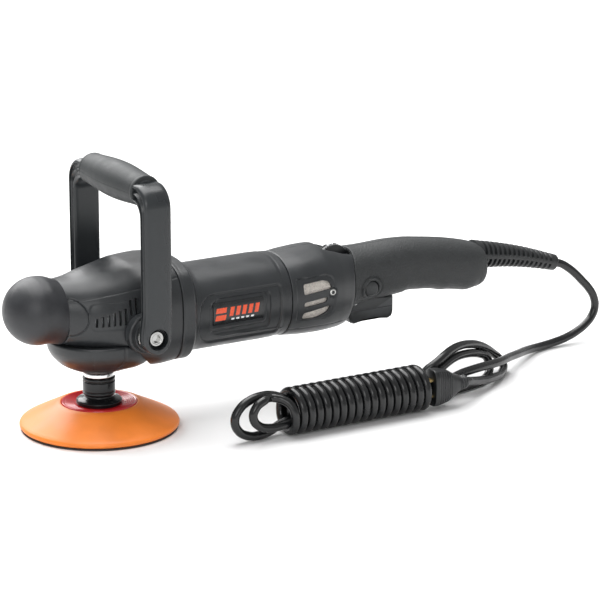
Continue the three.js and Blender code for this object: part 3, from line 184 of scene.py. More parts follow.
winding_axis = np.array([-92.0, 18.8])  # Y and Z of the winding's middle
winding_radius = 15.1


def in_core(x, across, up):
    """A point of a run inside the winding, from its distance off the winding's axis."""
    return (x, winding_axis[0] + across, winding_axis[1] + up)


def on_winding(x, degrees):
    turned = math.radians(degrees)
    return in_core(x, winding_radius * math.cos(turned), winding_radius * math.sin(turned))


lead = [
    (429.4, 0, 72.0), (435.5, -0.2, 70.3), (442.6, -0.6, 66.0), (449.8, -0.9, 60.2), (457.2, -1.2, 52.8),
    (464.4, -1.6, 45.0), (469.4, -2.0, 36.6), (470.6, -2.4, 28.4), (467.4, -3.0, 20.8), (460.6, -3.6, 14.6),
    (451.2, -4.4, 9.8), (440, -5.2, 6.3), (427, -6.2, 4.3), (413, -8.6, 3.8), (399, -13.6, 4.8),
    (385.4, -22.4, 7.2), (370, -34.4, 10.2), (353, -47.2, 13.4), (334, -61.8, 16.6), (316.6, -70.4, 18.6),
]
first_run = [
    (299, -76.8, 19.8), (283, -80.6, 19.2), (267, -83.6, 16.2), (251, -85.2, 13.2),
    in_core(234, 6.2, -1.6), in_core(214, 5.8, 1), in_core(170, 5.2, 4), in_core(132, 3.2, 7.2),
]
outer_left_loop = [
    (118, -89.6, 26.6), (111, -88.8, 30), (103, -89.8, 33.2), (93, -92, 34.8), (81.5, -93.4, 33.4),
    (72, -94, 28), (67.8, -94.2, 19.4), (71, -94.2, 10.8), (79.4, -93.8, 5.4), (89.6, -93, 3.8),
    (100, -91.4, 4.8), (110, -89.8, 8.6),
]
second_run = [
    in_core(120, 2.4, -7.4), in_core(140, 2.4, -7.4), in_core(190, 2, -7.4), in_core(222, 3.4, -7.2),
    in_core(236, 4.6, -7),
]
inner_right_loop = [
    (250, -83.8, 8), (266, -78, 4.4), (281, -72.8, 3.7), (296, -69.6, 3.7), (309, -65.8, 3.7),
    (320.6, -60, 3.9),
    (328.6, -53.8, 6.6), (331.6, -49.4, 12), (329, -48.6, 18), (321, -51.6, 22.4), (310.6, -56.6, 26),
    (298.6, -62, 28.4), (285, -68.4, 29.2),
    (270, -75.6, 26.8), (256, -82, 22.6),
]
third_run = [
    in_core(240, 4.2, 1.8), in_core(222, 0.8, 4.2), in_core(170, -4.2, 0.6), in_core(134, -5.4, -3.6),
]
inner_left_loop = [
    (118, -98.8, 12.6), (104, -100.6, 11), (94, -101, 11.2), (85.4, -101, 14.2), (80.2, -101, 21.6),
    (82.8, -100.8, 29.4),
    (90, -100, 33.4),
]
onto_winding = [
    on_winding(97.6, 103), on_winding(103.4, 112), on_winding(108, 126), on_winding(111.6, 145),
    on_winding(113.6, 170), on_winding(114.8, 197),
]
turns, turn_points, pitch = 17, 12, 7.06
winding = [
    on_winding(115.6 + pitch * step / turn_points, 225 + 360 * step / turn_points)
    for step in range(turns * turn_points + 1)
]
outer_right_loop = [
    on_winding(236.6, 258), on_winding(238, 290), on_winding(240.6, 322), on_winding(245.2, 350),
    (252, -77.6, 25.6),
    (260, -79.2, 31.2), (269, -77, 35.2), (279.6, -71.6, 37.2), (292.4, -65, 37.2), (307.5, -57.4, 34.3),
    (321, -50.4, 29.4), (333, -44.4, 22.8), (342, -40, 16.4), (348.8, -37.8, 11), (351.4, -40.2, 6.4),
    (348, -46, 4),
    (341, -53.6, 3.8), (334.4, -60.4, 4.4), (326, -67.4, 6.4), (313, -76.4, 9), (300, -83.4, 11.8),
    (288, -90, 15), (279, -95, 17.6), (272, -97.6, 18.7),
]
cord_route = [
    *lead, *first_run, *outer_left_loop, *second_run, *inner_right_loop, *third_run, *inner_left_loop,
    *onto_winding, *winding, *outer_right_loop,
]

cord_curve = bpy.data.curves.new("power_cord", "CURVE")
cord_curve.dimensions = "3D"
cord_curve.resolution_u = 6
cord_curve.bevel_depth = 3.5 * MM
cord_curve.bevel_resolution = 5
cord_curve.use_fill_caps = True
spline = cord_curve.splines.new("BEZIER")
spline.bezier_points.add(len(cord_route) - 1)
for knot, place in zip(spline.bezier_points, cord_route):
    knot.co = Vector(place) * MM
    knot.handle_left_type = knot.handle_right_type = "AUTO"
cord_curve.materials.append(vinyl)
power_cord = bpy.data.objects.new("power_cord", cord_curve)
bpy.context.collection.objects.link(power_cord)
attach(power_cord, "housing")
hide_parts("cord_lead", "cord_hank")


# Plug. A flat two-blade plug moulded onto the cord in the same black vinyl, with ribbed sides
# to pull it by. Its blades are pushed into the middle of the winding.
def outline(sections):
    """Returns low, high, half width and squareness at any station, smoothly between sections."""
    table = np.array(sections, float)
    x, values = table[:, 0], table[:, 1:]
    gap = np.diff(x)[:, None]
    rise = np.diff(values, axis=0) / gap
    slope = np.empty_like(values)
    slope[0], slope[-1] = rise[0], rise[-1]
    level = rise[1:] * rise[:-1] <= 0
    slope[1:-1] = np.where(level, 0, 2 * rise[1:] * rise[:-1] / np.where(level, 1, rise[1:] + rise[:-1]))

    def at(station):
        station = np.asarray(station, float)
        i = np.clip(np.searchsorted(x, station) - 1, 0, len(x) - 2)
        t = np.clip((station - x[i]) / (x[i + 1] - x[i]), 0, 1)[..., None]
        m, n = slope[i] * gap[i], slope[i + 1] * gap[i]
        return (
            (2 * t**3 - 3 * t**2 + 1) * values[i]
            + (t**3 - 2 * t**2 + t) * m
            + (3 * t**2 - 2 * t**3) * values[i + 1]
            + (t**3 - t**2) * n
        )

    return at


def skin(at, station, angle):
    """Points of rounded sections square to X: rows are stations, columns are angles from +Y."""
    low, high, half, square = np.moveaxis(at(station), -1, 0)
    side, rise = np.cos(angle), np.sin(angle)
    y = half * np.sign(side) * np.abs(side) ** (2 / square)
    z = (low + high) / 2 + (high - low) / 2 * np.sign(rise) * np.abs(rise) ** (2 / square)
    return np.stack(np.broadcast_arrays(station, y, z), -1)


def outward(points, ring):
    """Unit normals of a sheet of points, away from the middle of each row."""
    wrapped = np.concatenate([points[:, -1:], points, points[:, :1]], 1) if ring else points
    across = np.gradient(wrapped, axis=1)
    across = across[:, 1:-1] if ring else across
    normal = np.cross(across, np.gradient(points, axis=0))
    normal /= np.linalg.norm(normal, axis=2, keepdims=True) + 1e-9
    away = points - points.mean(axis=1, keepdims=True)
    return normal * np.sign((normal * away).sum())


def stations(start, end, step, fine=(0, 0.15, 0.4, 0.8)):
    """Stations along a piece, closer together at both ends where its edges are rounded."""
    middle = np.linspace(start + fine[-1], end - fine[-1], max(2, int((end - start) / step)))
    return np.concatenate([start + np.array(fine[:-1]), middle, end - np.array(fine[-2::-1])])


def rounding(inside, radius=0.8):
    """How far an edge of the given radius has fallen back, by the distance in from the edge."""
    reach = np.clip(radius - inside, 0, radius)
    return radius - np.sqrt(radius**2 - reach**2)


def groove(off, width, depth):
    """Depth of a rounded groove by the distance off its middle line."""
    return depth * np.clip(1 - (np.abs(off) / (width / 2)) ** 2, 0, 1)


def step_down(inside, slope):
    """0 outside an outline and 1 inside it, with a soft step of the given width."""
    t = np.clip(inside / slope + 0.5, 0, 1)
    return t * t * (3 - 2 * t)


def in_panel(x, z, middle, half, corner):
    """Distance inside the outline of a rounded panel, in X and Z."""
    dx, dz = np.abs(x - middle[0]) - half[0] + corner, np.abs(z - middle[1]) - half[1] + corner
    return corner - np.hypot(np.maximum(dx, 0), np.maximum(dz, 0)) - np.minimum(np.maximum(dx, dz), 0)


def sheet_faces(rows, columns, ring, first=0, flip=False):
    here = np.arange(rows * columns).reshape(rows, columns) + first
    if ring:
        here = np.concatenate([here, here[:, :1]], 1)
    faces = np.stack([here[:-1, :-1], here[:-1, 1:], here[1:, 1:], here[1:, :-1]], -1).reshape(-1, 4)
    return faces[:, ::-1] if flip else faces


def new_piece(name, points, faces, material, body, slot, cad=(), sharp=32):
    """Makes an object of points in millimetres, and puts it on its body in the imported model."""
    mesh = bpy.data.meshes.new(name)
    mesh.from_pydata(
        np.asarray(points, float).reshape(-1, 3) * MM, [], [list(map(int, face)) for face in faces],
    )
    mesh.validate()
    mesh.materials.append(material)
    tidy_mesh(mesh, sharp)
    piece = bpy.data.objects.new(name, mesh)
    bpy.context.collection.objects.link(piece)
    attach(piece, body)
    if cad:
        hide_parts(*cad)
    return piece


def tidy_mesh(mesh, sharp):
    """Joins loose points, turns the faces outwards and marks the sharp edges."""
    shape = bmesh.new()
    shape.from_mesh(mesh)
    bmesh.ops.remove_doubles(shape, verts=shape.verts, dist=0.002 * MM)
    bmesh.ops.recalc_face_normals(shape, faces=shape.faces)
    for face in shape.faces:
        face.smooth = len(face.verts) < 5
    flat_ends = [face for face in shape.faces if len(face.verts) > 4]
    bmesh.ops.triangulate(shape, faces=flat_ends, ngon_method="EAR_CLIP")
    shape.to_mesh(mesh)
    shape.free()
    mesh.set_sharp_from_angle(angle=math.radians(sharp))


def capped(name, rows, material, body, slot, cad=(), sharp=32):
    """A solid skinned over rings of points, closed flat at both ends."""
    count, around = rows.shape[:2]
    faces = [
        *sheet_faces(count, around, True), list(range(around)),
        list(range((count - 1) * around, count * around)),
    ]
    return new_piece(name, rows, faces, material, body, slot, cad, sharp)


def walled(name, outer, inner, ring, material, body, slot, cad=(), sharp=32):
    """A moulded wall between an outer and an inner sheet of points, closed along its edges."""
    rows, columns = outer.shape[:2]
    under = rows * columns
    grid = np.arange(under).reshape(rows, columns)
    rims = [grid[0], grid[-1]] + ([] if ring else [grid[:, 0], grid[:, -1]])
    faces = [*sheet_faces(rows, columns, ring), *sheet_faces(rows, columns, ring, under, True)]
    for rim in rims:
        rim = np.append(rim, rim[0]) if ring else rim
        faces += [[a, b, b + under, a + under] for a, b in zip(rim[:-1], rim[1:])]
    return new_piece(
        name, np.concatenate([outer.reshape(-1, 3), inner.reshape(-1, 3)]), faces, material, body, slot,
        cad, sharp,
    )


plug_middle = (-98.0, 18.8)
plug_shape = outline(
    [
        (243.5, 3.8, 33.8, 8.5, 3.6), (246, 3.8, 33.8, 8.5, 3.6), (256, 5.4, 32.2, 8.3, 3.2),
        (263, 9.4, 28.2, 7.4, 2.8),
        (267, 11.4, 26.2, 6.6, 2.4), (270, 12.4, 25.2, 6.2, 2.1), (276.5, 13.4, 24.2, 5.4, 2.0),
    ]
)
x = stations(243.5, 276.5, 0.5)
angle = np.linspace(0, 2 * math.pi, 96, endpoint=False)
body_of_plug = skin(plug_shape, x[:, None], angle[None, :])
ribs = 0.5 * (1 + np.cos(2 * math.pi * (x - 248) / 2.2)) * (x > 247) * (x < 259)
collar = 0.8 * (0.5 + 0.5 * np.cos(2 * math.pi * (x - 268) / 2.6)) * (x > 268) * (x < 275)
depth = (
    0.5 * ribs[:, None] * (np.abs(np.cos(angle))[None, :] > 0.55) + collar[:, None]
) + rounding(x - 243.5, 0.8)[:, None] + rounding(276.5 - x, 0.8)[:, None]
body_of_plug = body_of_plug - outward(body_of_plug, True) * depth[..., None]
body_of_plug[..., 1] += plug_middle[0]
plug_vinyl = finish(
    "plug_vinyl", (0.008, 0.009, 0.010), 0.34, mottle=0.2, patch=8, grain=0.12, grain_size=0.7,
    worn=(0.09, 0.09, 0.095), wear=0.5,
)
plug = capped("plug", body_of_plug, plug_vinyl, "housing", "cord_vinyl", ("plug_body",))

brass = finish(
    "bright_brass", (0.72, 0.53, 0.24), 0.3, 1.0, mottle=0.1, patch=5, grain=0.03, grain_size=0.6,
)
for name, rise in (("plug_blade_upper", 6.4), ("plug_blade_lower", -6.4)):
    z = np.array([-0.8, -0.8, 0.8, 0.8]) + plug_middle[1] + rise
    y = np.array([-3.2, 3.2, 3.2, -3.2]) + plug_middle[0]
    blade = [
        [
            (
                x, plug_middle[0] + (b - plug_middle[0]) * share,
                plug_middle[1] + rise + (c - plug_middle[1] - rise) * share,
            )
            for b, c in zip(y, z)
        ]
        for x, share in ((226.5, 0.45), (228.2, 1.0), (244.5, 1.0))
    ]
    capped(name, np.array(blade, float), brass, "housing", "brass")


# Strain relief. A tapered rubber boot with fifteen ribs cut into it above and below a plain
# spine on each side, so that it bends evenly. Its flange is held inside the handle's tail.
relief_start, relief_end = np.array([346.0, 0.0, 90.9]), np.array([429.0, 0.0, 72.1])
relief_bow = 2.2
relief_ribs = 15
t = np.linspace(0, 1, 260)
spine_line = relief_start + (relief_end - relief_start) * t[:, None]
spine_line[:, 2] += relief_bow * np.sin(math.pi * t)
direction = np.gradient(spine_line, axis=0)
direction /= np.linalg.norm(direction, axis=1, keepdims=True)
up = np.cross(direction, [0.0, 1.0, 0.0])
up *= np.sign(up[:, 2:3])
angle = np.linspace(0, 2 * math.pi, 120, endpoint=False)
taper = 12.0 + (6.7 - 12.0) * t**0.95
ribbed = (t > 0.06) & (t < 0.93)
cut = np.clip(np.cos(2 * math.pi * (t - 0.06) / 0.87 * relief_ribs + math.pi) * 2.2 + 0.6, 0, 1) * ribbed
off_spine = np.clip((np.abs(np.sin(angle)) - 0.13) / 0.12, 0, 1)
radius = taper[:, None] - 2.3 * (1 - 0.35 * t)[:, None] * cut[:, None] * off_spine[None, :]
radius -= rounding((1 - t) * 83, 1.0)[:, None]
boot = spine_line[:, None, :] + radius[..., None] * (
    np.cos(angle)[None, :, None] * np.array([0.0, 1.0, 0.0]) + np.sin(angle)[None, :, None] * up[:, None, :]
)
boot_rubber = finish(
    "boot_rubber", (0.011, 0.012, 0.013), 0.42, mottle=0.2, patch=7, grain=0.05, grain_size=0.5,
    worn=(0.11, 0.115, 0.12), wear=0.6,
)
relief = capped("cord_boot", boot, boot_rubber, "housing", "soft_rubber", ("strain_relief",))
tuple(np.array(cord_route[0]) * MM)


# Handle shells. Two glass-filled nylon halves, split down the middle, that carry the switch,
# the speed dial and the cord. Each has a sunk panel of three vent windows, and is held by screws.
housing_black = finish(
    "housing_nylon", (0.017, 0.019, 0.021), 0.36, mottle=0.12, patch=16, grain=0.035, grain_size=0.45,
    worn=(0.07, 0.075, 0.08), wear=0.5,
)
handle_shape = outline(
    [
        (155.4, 51.8, 118.8, 33.6, 2.2), (172, 50.5, 120.3, 34.6, 2.3), (190, 50, 121.2, 33.4, 2.3),
        (204, 50.4, 118.4, 30, 2.3), (214, 52, 115.6, 26.4, 2.3), (221, 63.5, 114.2, 24, 2.3),
        (236, 68, 113.8, 22.4, 2.4), (264, 69.4, 114.6, 21.8, 2.4), (281, 71, 113.8, 21.4, 2.4),
        (298, 69, 111.6, 21.4, 2.4), (317, 65.8, 108.6, 21.4, 2.4), (336, 63.4, 104.4, 21, 2.4),
        (348, 65.6, 100.6, 18.6, 2.3), (353, 70, 97, 14.6, 2.2),
    ]
)
seam_gap, shell_wall, cover_wall, grid = 0.15, 2.6, 1.8, 0.8
side_girth = 115.0
side_names = (("left", -1), ("right", 1))
button_at = (236.0, 82.5)
dial_at, dial_radius = (211.0, 104.0), 14.5
vent_middle, vent_half = (177.5, 86.0), (17.5, 17.0)
front_screw, side_screws = (193.5, 88.0), ((205.0, 61.0), (276.0, 92.0), (308.0, 88.0))


def cover_edge(z):
    """Where the rubber cover starts: straight up the side, then back a little over the top."""
    return 219.3 + 4.5 * np.clip((z - 98) / 16, 0, 1) ** 1.5


def round_the_side(count):
    """Angles from the bottom seam round one side to the top, closer together near the seams."""
    share = np.linspace(0, np.pi, count)
    return -np.pi / 2 + (np.pi / 2 * (1 - np.cos(share)) * 0.35 + share * 0.65)


def half_of(shape, side, start, end, pitch=grid):
    """Sheet of points over one side's half of a skin, from the bottom seam round to the top."""
    x = stations(start, end, pitch)
    points = skin(shape, x[:, None], round_the_side(int(side_girth / pitch))[None, :])
    points[..., 1] *= side
    return points, outward(points, False)


def seat(x, z, middle, inner, deep):
    """A round counterbore with a soft edge."""
    return deep * step_down(inner - np.hypot(x - middle[0], z - middle[1]), 0.5)


def prism(name, outline_points, low, high):
    """A cutter: an outline in X and Z carried along Y."""
    flat = np.asarray(outline_points, float)
    rows = np.stack([np.stack([flat[:, 0], np.full(len(flat), y), flat[:, 1]], -1) for y in (low, high)])
    return bare(name, rows)


def bare(name, rows):
    count, around = rows.shape[:2]
    faces = [
        *sheet_faces(count, around, True), list(range(around)),
        list(range((count - 1) * around, count * around)),
    ]
    mesh = bpy.data.meshes.new(name)
    mesh.from_pydata(rows.reshape(-1, 3) * MM, [], [list(map(int, face)) for face in faces])
    tidy_mesh(mesh, 30)
    piece = bpy.data.objects.new(name, mesh)
    bpy.context.collection.objects.link(piece)
    return piece


def cut(piece, *cutters):
    """Cuts away the cutters' solids, leaving the new edges crisp."""
    for cutter in cutters:
        step = piece.modifiers.new("cut", "BOOLEAN")
        step.object, step.solver = cutter, "MANIFOLD"
    evaluated = piece.evaluated_get(bpy.context.evaluated_depsgraph_get())
    mesh = bpy.data.meshes.new_from_object(evaluated)
    piece.modifiers.clear()
    piece.data = mesh
    mesh.set_sharp_from_angle(angle=math.radians(32))
    for cutter in cutters:
        bpy.data.objects.remove(cutter)


def rounded(points, radius, steps=7):
    """An outline with each corner rounded."""
    points = np.asarray(points, float)
    out = []
    for before, corner, after in zip(np.roll(points, 1, 0), points, np.roll(points, -1, 0)):
        a, b = before - corner, after - corner
        la, lb = np.linalg.norm(a), np.linalg.norm(b)
        reach_a, reach_b = min(radius, la * 0.48), min(radius, lb * 0.48)
        a, b = corner + a / la * reach_a, corner + b / lb * reach_b
        for t in np.linspace(0, 1, steps):
            out.append((1 - t) ** 2 * a + 2 * t * (1 - t) * corner + t**2 * b)
    return np.array(out)


def circle(middle, radius, count=48):
    t = np.linspace(0, 2 * np.pi, count, endpoint=False)
    return np.stack([middle[0] + radius * np.cos(t), middle[1] + radius * np.sin(t)], -1)


window_outlines = (
    [(166, 89.6), (165.6, 98.6), (184, 99.4), (190, 97.4), (192.6, 91.6)],
    [(166, 79.6), (165.8, 83.8), (188.2, 85.6), (187, 81.2)],
    [(164.8, 69.8), (165.4, 75.0), (191.4, 78.2), (187.6, 72.4), (177, 69.0)],
)
trigger_slot = rounded([(221.5, 44), (221.5, 75.6), (267.4, 75.6), (267.4, 44)], 1.5)
for name, side in side_names:
    skin_points, normal = half_of(handle_shape, side, 155.4, 353)
    x, y, z = np.moveaxis(skin_points, -1, 0)
    panel_half = np.where(x > vent_middle[0], 9.0, 2.0)
    inside = in_panel(x, z, vent_middle, vent_half, panel_half)
    bulk = np.abs(y) > 14
    depth = rounding(x - 155.4, 0.9) + rounding(np.abs(y), 0.4)
    depth += bulk * (0.9 * step_down(inside - 0.6, 0.8) + groove(inside, 1.5, 1.0))
    depth += bulk * groove(
        in_panel(
            x, z, vent_middle, (vent_half[0] - 2.4, vent_half[1] - 2.4), np.maximum(panel_half - 2.4, 1),
        ),
        0.8, 0.25,
    )
    scoop = 4.2 * step_down((11.5 - np.abs(y)) / 3.0, 1.6) * step_down((x - 196.5) / 4.0, 1.4) * step_down(
        (225 - x) / 3.0, 1.4,
    ) * (z > 96)
    depth += scoop
    edge = x - cover_edge(z)
    depth += 2.1 * step_down(edge + 0.2, 0.4) + groove(edge + 0.5, 0.9, 0.4)
    depth += (x < 218) * (z > 56) * 0.45 * groove(z - 60.5 + 0.02 * (x - 190), 0.9, 1.0)
    if side < 0:
        depth += bulk * seat(x, z, front_screw, 4.0, 1.2)
    else:
        depth += bulk * seat(x, z, side_screws[0], 4.0, 0.9)
    outer = skin_points - normal * depth[..., None]
    inner = skin_points - normal * (shell_wall + scoop + 2.0 * step_down(edge + 0.2, 0.4))[..., None]
    outer[..., 1] += side * seam_gap
    inner[..., 1] = np.where(np.abs(inner[..., 1]) < seam_gap, side * seam_gap, inner[..., 1])
    inner[:, (0, -1), 1] = side * seam_gap
    inner[0, :, 0] = inner[0, :, 0].clip(155.4)
    shell = walled(
        "handle_shell_" + name, outer, inner, False, housing_black, "housing", "housing",
        ("handle_shell_" + name,),
    )
    near, far = (side * 21.0, side * 45.0) if side > 0 else (side * 45.0, side * 21.0)
    holes = [prism("window", rounded(points, 2.2), near, far) for points in window_outlines]
    holes.append(prism("slot", trigger_slot, -9.5, 9.5))
    holes.append(prism("dial_slot", circle(dial_at, dial_radius + 1.2, 64), -4.3, 4.3))
    if side < 0:
        holes.append(prism("button_hole", circle(button_at, 6.7), -40, -8))
    cut(shell, *holes)


# Grip covers. Soft moulded rubber over the back of each handle shell, with a fine pebbled skin,
# finger swells along the underside and a raised ring round the lock-on button.
grip_rubber = finish(
    "grip_rubber", (0.019, 0.021, 0.022), 0.56, mottle=0.2, patch=5, grain=0.6, grain_size=1.25,
    worn=(0.10, 0.105, 0.108), wear=0.5,
)
finger_swells = ((286.0, 4.8), (309.0, 5.0), (333.0, 5.4))
for name, side in side_names:
    skin_points, normal = half_of(handle_shape, side, 219.3, 351.4)
    x, y, z = np.moveaxis(skin_points, -1, 0)
    start = cover_edge(z)
    x = start + (x - 219.3) * (351.4 - start) / (351.4 - 219.3)
    skin_points = skin(handle_shape, x, round_the_side(x.shape[1])[None, :])
    skin_points[..., 1] *= side
    normal = outward(skin_points, False)
    x, y, z = np.moveaxis(skin_points, -1, 0)
    depth = rounding(x - cover_edge(z), 0.7) + rounding(351.4 - x, 0.9) + rounding(np.abs(y), 0.4)
    under = np.clip((84 - z) / 16, 0, 1)
    swell = sum(np.exp(-(((x - at) / width) ** 2)) for at, width in finger_swells)
    depth += under * 0.55 * (1 - np.clip(swell, 0, 1)) * (x > 272) * (x < 344)
    off_button = np.hypot(x - button_at[0], z - button_at[1])
    if side < 0:
        depth += (y < 0) * (np.abs(y) > 12) * (
            groove(off_button - 10.0, 2.2, 0.7) - 0.55 * step_down(1.2 - np.abs(off_button - 8.0), 0.6)
        )
    else:
        for middle in side_screws[1:]:
            depth += (np.abs(y) > 12) * seat(x, z, middle, 4.2, 1.3)
    outer = skin_points - normal * depth[..., None]
    inner = skin_points - normal * cover_wall
    outer[..., 1] += side * seam_gap
    inner[:, (0, -1), 1] = side * seam_gap
    cover = walled(
        "grip_cover_" + name, outer, inner, False, grip_rubber, "housing", "grip_rubber",
        ("grip_cover_" + name,),
    )
    holes = [prism("slot", trigger_slot, -9.5, 9.5)]
    if side < 0:
        holes.append(prism("button_hole", circle(button_at, 6.7), -40, -8))
    cut(cover, *holes)


# Vent mesh. Fine stainless mesh heat-staked inside each vent panel, over a thin pale filter
# felt, to keep polishing dust out of the motor.
mesh_steel = finish(
    "mesh_steel", (0.80, 0.76, 0.71), 0.45, 0.35, mottle=0.2, patch=2.2, grain=0.04, grain_size=0.4,
)
felt = finish("filter_felt", (0.52, 0.48, 0.44), 0.9, mottle=0.3, patch=1.1, grain=0.2, grain_size=0.5)


def tubes(paths, radius, sides=6):
    """Points and faces of round wires along paths."""
    points, faces = [], []
    t = np.linspace(0, 2 * np.pi, sides, endpoint=False)
    for path in paths:
        path = np.asarray(path, float)
        along = np.gradient(path, axis=0)
        along /= np.linalg.norm(along, axis=1, keepdims=True)
        reference = np.array([0, 1.0, 0]) if abs(along[0, 1]) < 0.9 else np.array([0, 0, 1.0])
        first = np.cross(along, reference)
        first /= np.linalg.norm(first, axis=1, keepdims=True)
        second = np.cross(along, first)
        ring = path[:, None] + radius * (
            first[:, None] * np.cos(t)[None, :, None] + second[:, None] * np.sin(t)[None, :, None]
        )
        base = sum(len(p) for p in points)
        points.append(ring.reshape(-1, 3))
        faces += [list(f) for f in sheet_faces(len(path), sides, True, base)]
        faces += [
            list(range(base, base + sides)),
            list(range(base + (len(path) - 1) * sides, base + len(path) * sides)),
        ]
    return np.concatenate(points), faces


def side_at(shape, x, z):
    """Half width of a skin at the given stations and heights."""
    low, high, half, square = np.moveaxis(shape(x), -1, 0)
    rise = np.clip(np.abs((z - (low + high) / 2) / ((high - low) / 2)), 0, 1)
    return half * (1 - rise**square) ** (1 / square)


wire_pitch, wire_radius, mesh_inset = 0.95, 0.17, 3.0
mesh_low, mesh_high, mesh_start, mesh_end = 68.0, 101.0, 162.6, 193.4
for name, side in side_names:
    columns = np.arange(mesh_start, mesh_end, wire_pitch)
    levels = np.arange(mesh_low, mesh_high, wire_pitch)
    wires = []
    for i, level in enumerate(levels):
        x = np.linspace(mesh_start, mesh_end, len(columns) * 2 + 1)
        lift = 0.16 * np.cos(np.pi * ((x - mesh_start) / wire_pitch + i))
        wires.append(
            np.stack(
                [
                    x, side * (side_at(handle_shape, x, np.full_like(x, level)) - mesh_inset + lift),
                    np.full_like(x, level),
                ],
                -1,
            )
        )
    for i, column in enumerate(columns):
        z = np.linspace(mesh_low, mesh_high, len(levels) * 2 + 1)
        lift = -0.16 * np.cos(np.pi * ((z - mesh_low) / wire_pitch + i))
        wires.append(
            np.stack(
                [
                    np.full_like(z, column),
                    side * (side_at(handle_shape, np.full_like(z, column), z) - mesh_inset + lift), z,
                ],
                -1,
            )
        )
    points, faces = tubes(wires, wire_radius)
    new_piece(
        "vent_mesh_" + name, points, faces, mesh_steel, "housing", "vent_mesh", ("vent_mesh_" + name,), 60,
    )
    x, z = np.meshgrid(
        np.linspace(mesh_start, mesh_end, 24), np.linspace(mesh_low, mesh_high, 24), indexing="ij",
    )
    front = np.stack([x, side * (side_at(handle_shape, x, z) - mesh_inset - 0.45), z], -1)
    back = front - np.array([0, side * 0.5, 0])
    walled("vent_felt_" + name, front, back, False, felt, "housing", "vent_mesh")


# Handle screws. Zinc-plated pan heads with a hexagon recess, driven through the shells into
# moulded posts.
def turned(name, profile, place, axis, material, body, slot, cad=(), count=96, sharp=32):
    """A turned piece: its profile runs from one end of the axis to the other as (radius, distance)."""
    profile = np.asarray(profile, float)
    t = np.linspace(0, 2 * np.pi, count, endpoint=False)
    radius, along = profile[:, :1], np.broadcast_to(profile[:, 1:], (len(profile), count))
    first, second = radius * np.cos(t), radius * np.sin(t)
    order = {"z": (first, second, along), "y": (second, along, first), "x": (along, first, second)}[axis]
    rows = np.stack(order, -1) + np.asarray(place, float)
    if np.allclose(profile[0], profile[-1]):
        return new_piece(
            name, rows, sheet_faces(len(profile), count, True), material, body, slot, cad, sharp,
        )
    return capped(name, rows, material, body, slot, cad, sharp)


def softened(profile, radius=0.4, steps=5):
    """A turned piece's profile with its corners rounded, its two ends left as they are."""
    profile = np.asarray(profile, float)
    out = [profile[0]]
    for before, corner, after in zip(profile[:-2], profile[1:-1], profile[2:]):
        a, b = before - corner, after - corner
        la, lb = np.linalg.norm(a), np.linalg.norm(b)
        reach = min(radius, la * 0.45, lb * 0.45)
        a, b = corner + a / la * reach, corner + b / lb * reach
        for t in np.linspace(0, 1, steps):
            out.append((1 - t) ** 2 * a + 2 * t * (1 - t) * corner + t**2 * b)
    out.append(profile[-1])
    return np.array(out)


zinc = finish("zinc_plate", (0.62, 0.62, 0.60), 0.28, 1.0, mottle=0.1, patch=2, grain=0.02, grain_size=0.5)


def hexagon(middle, across):
    return circle(middle, across / math.sqrt(3), 6)


def screw_head(name, middle, face, side, cad, radius=3.4):
    profile = softened(
        [
            (0.05, -9), (1.9, -9), (1.9, -2.1), (radius, -2.1), (radius, -0.9), (radius * 0.8, -0.15),
            (0.05, 0),
        ],
        0.5,
    )
    profile[:, 1] = side * profile[:, 1]
    head = turned(
        name, profile, (middle[0], side * face, middle[1]), "y", zinc, "housing", "steel", (cad,), 40,
    )
    low, high = sorted((side * (face - 1.5), side * (face + 2)))
    cut(head, prism("recess", hexagon(middle, 3.1), low, high))
    return head


for name, middle, side, sink in (
    ("handle_screw_front", front_screw, -1, 1.0), ("handle_screw_lower", side_screws[0], 1, 0.6),
    ("handle_screw_middle", side_screws[1], 1, 1.1), ("handle_screw_rear", side_screws[2], 1, 1.1),
):
    face = float(side_at(handle_shape, np.array(middle[0]), np.array(middle[1]))) - sink
    screw_head(name, middle, face, side, name, 3.0)


# Trigger. A nylon paddle under the front of the grip, hollowed for the finger, hinged on a
# steel pin at its front end.
def slab(name, points, low, high, edge, material, body, slot, cad=(), axis="y", sharp=32):
    """A plate: an outline carried along an axis, with both rims rounded."""
    points = np.asarray(points, float)
    along = np.roll(points, -1, 0) - np.roll(points, 1, 0)
    inward = np.stack([-along[:, 1], along[:, 0]], -1) / (
        np.linalg.norm(along, axis=1, keepdims=True) + 1e-9
    )
    area = np.sum(points[:, 0] * np.roll(points[:, 1], -1) - np.roll(points[:, 0], -1) * points[:, 1])
    inward *= np.sign(area)
    steps = np.linspace(0, edge, 6)
    levels = np.concatenate([low + steps, high - steps[::-1]])
    rows = []
    for level in levels:
        fallen = float(rounding(np.array(min(level - low, high - level)), edge))
        flat = points + inward * fallen
        first, second, here = flat[:, 0], flat[:, 1], np.full(len(flat), level)
        order = {"y": (first, here, second), "z": (first, second, here), "x": (here, first, second)}[axis]
        rows.append(np.stack(order, -1))
    return capped(name, np.array(rows), material, body, slot, cad, sharp)


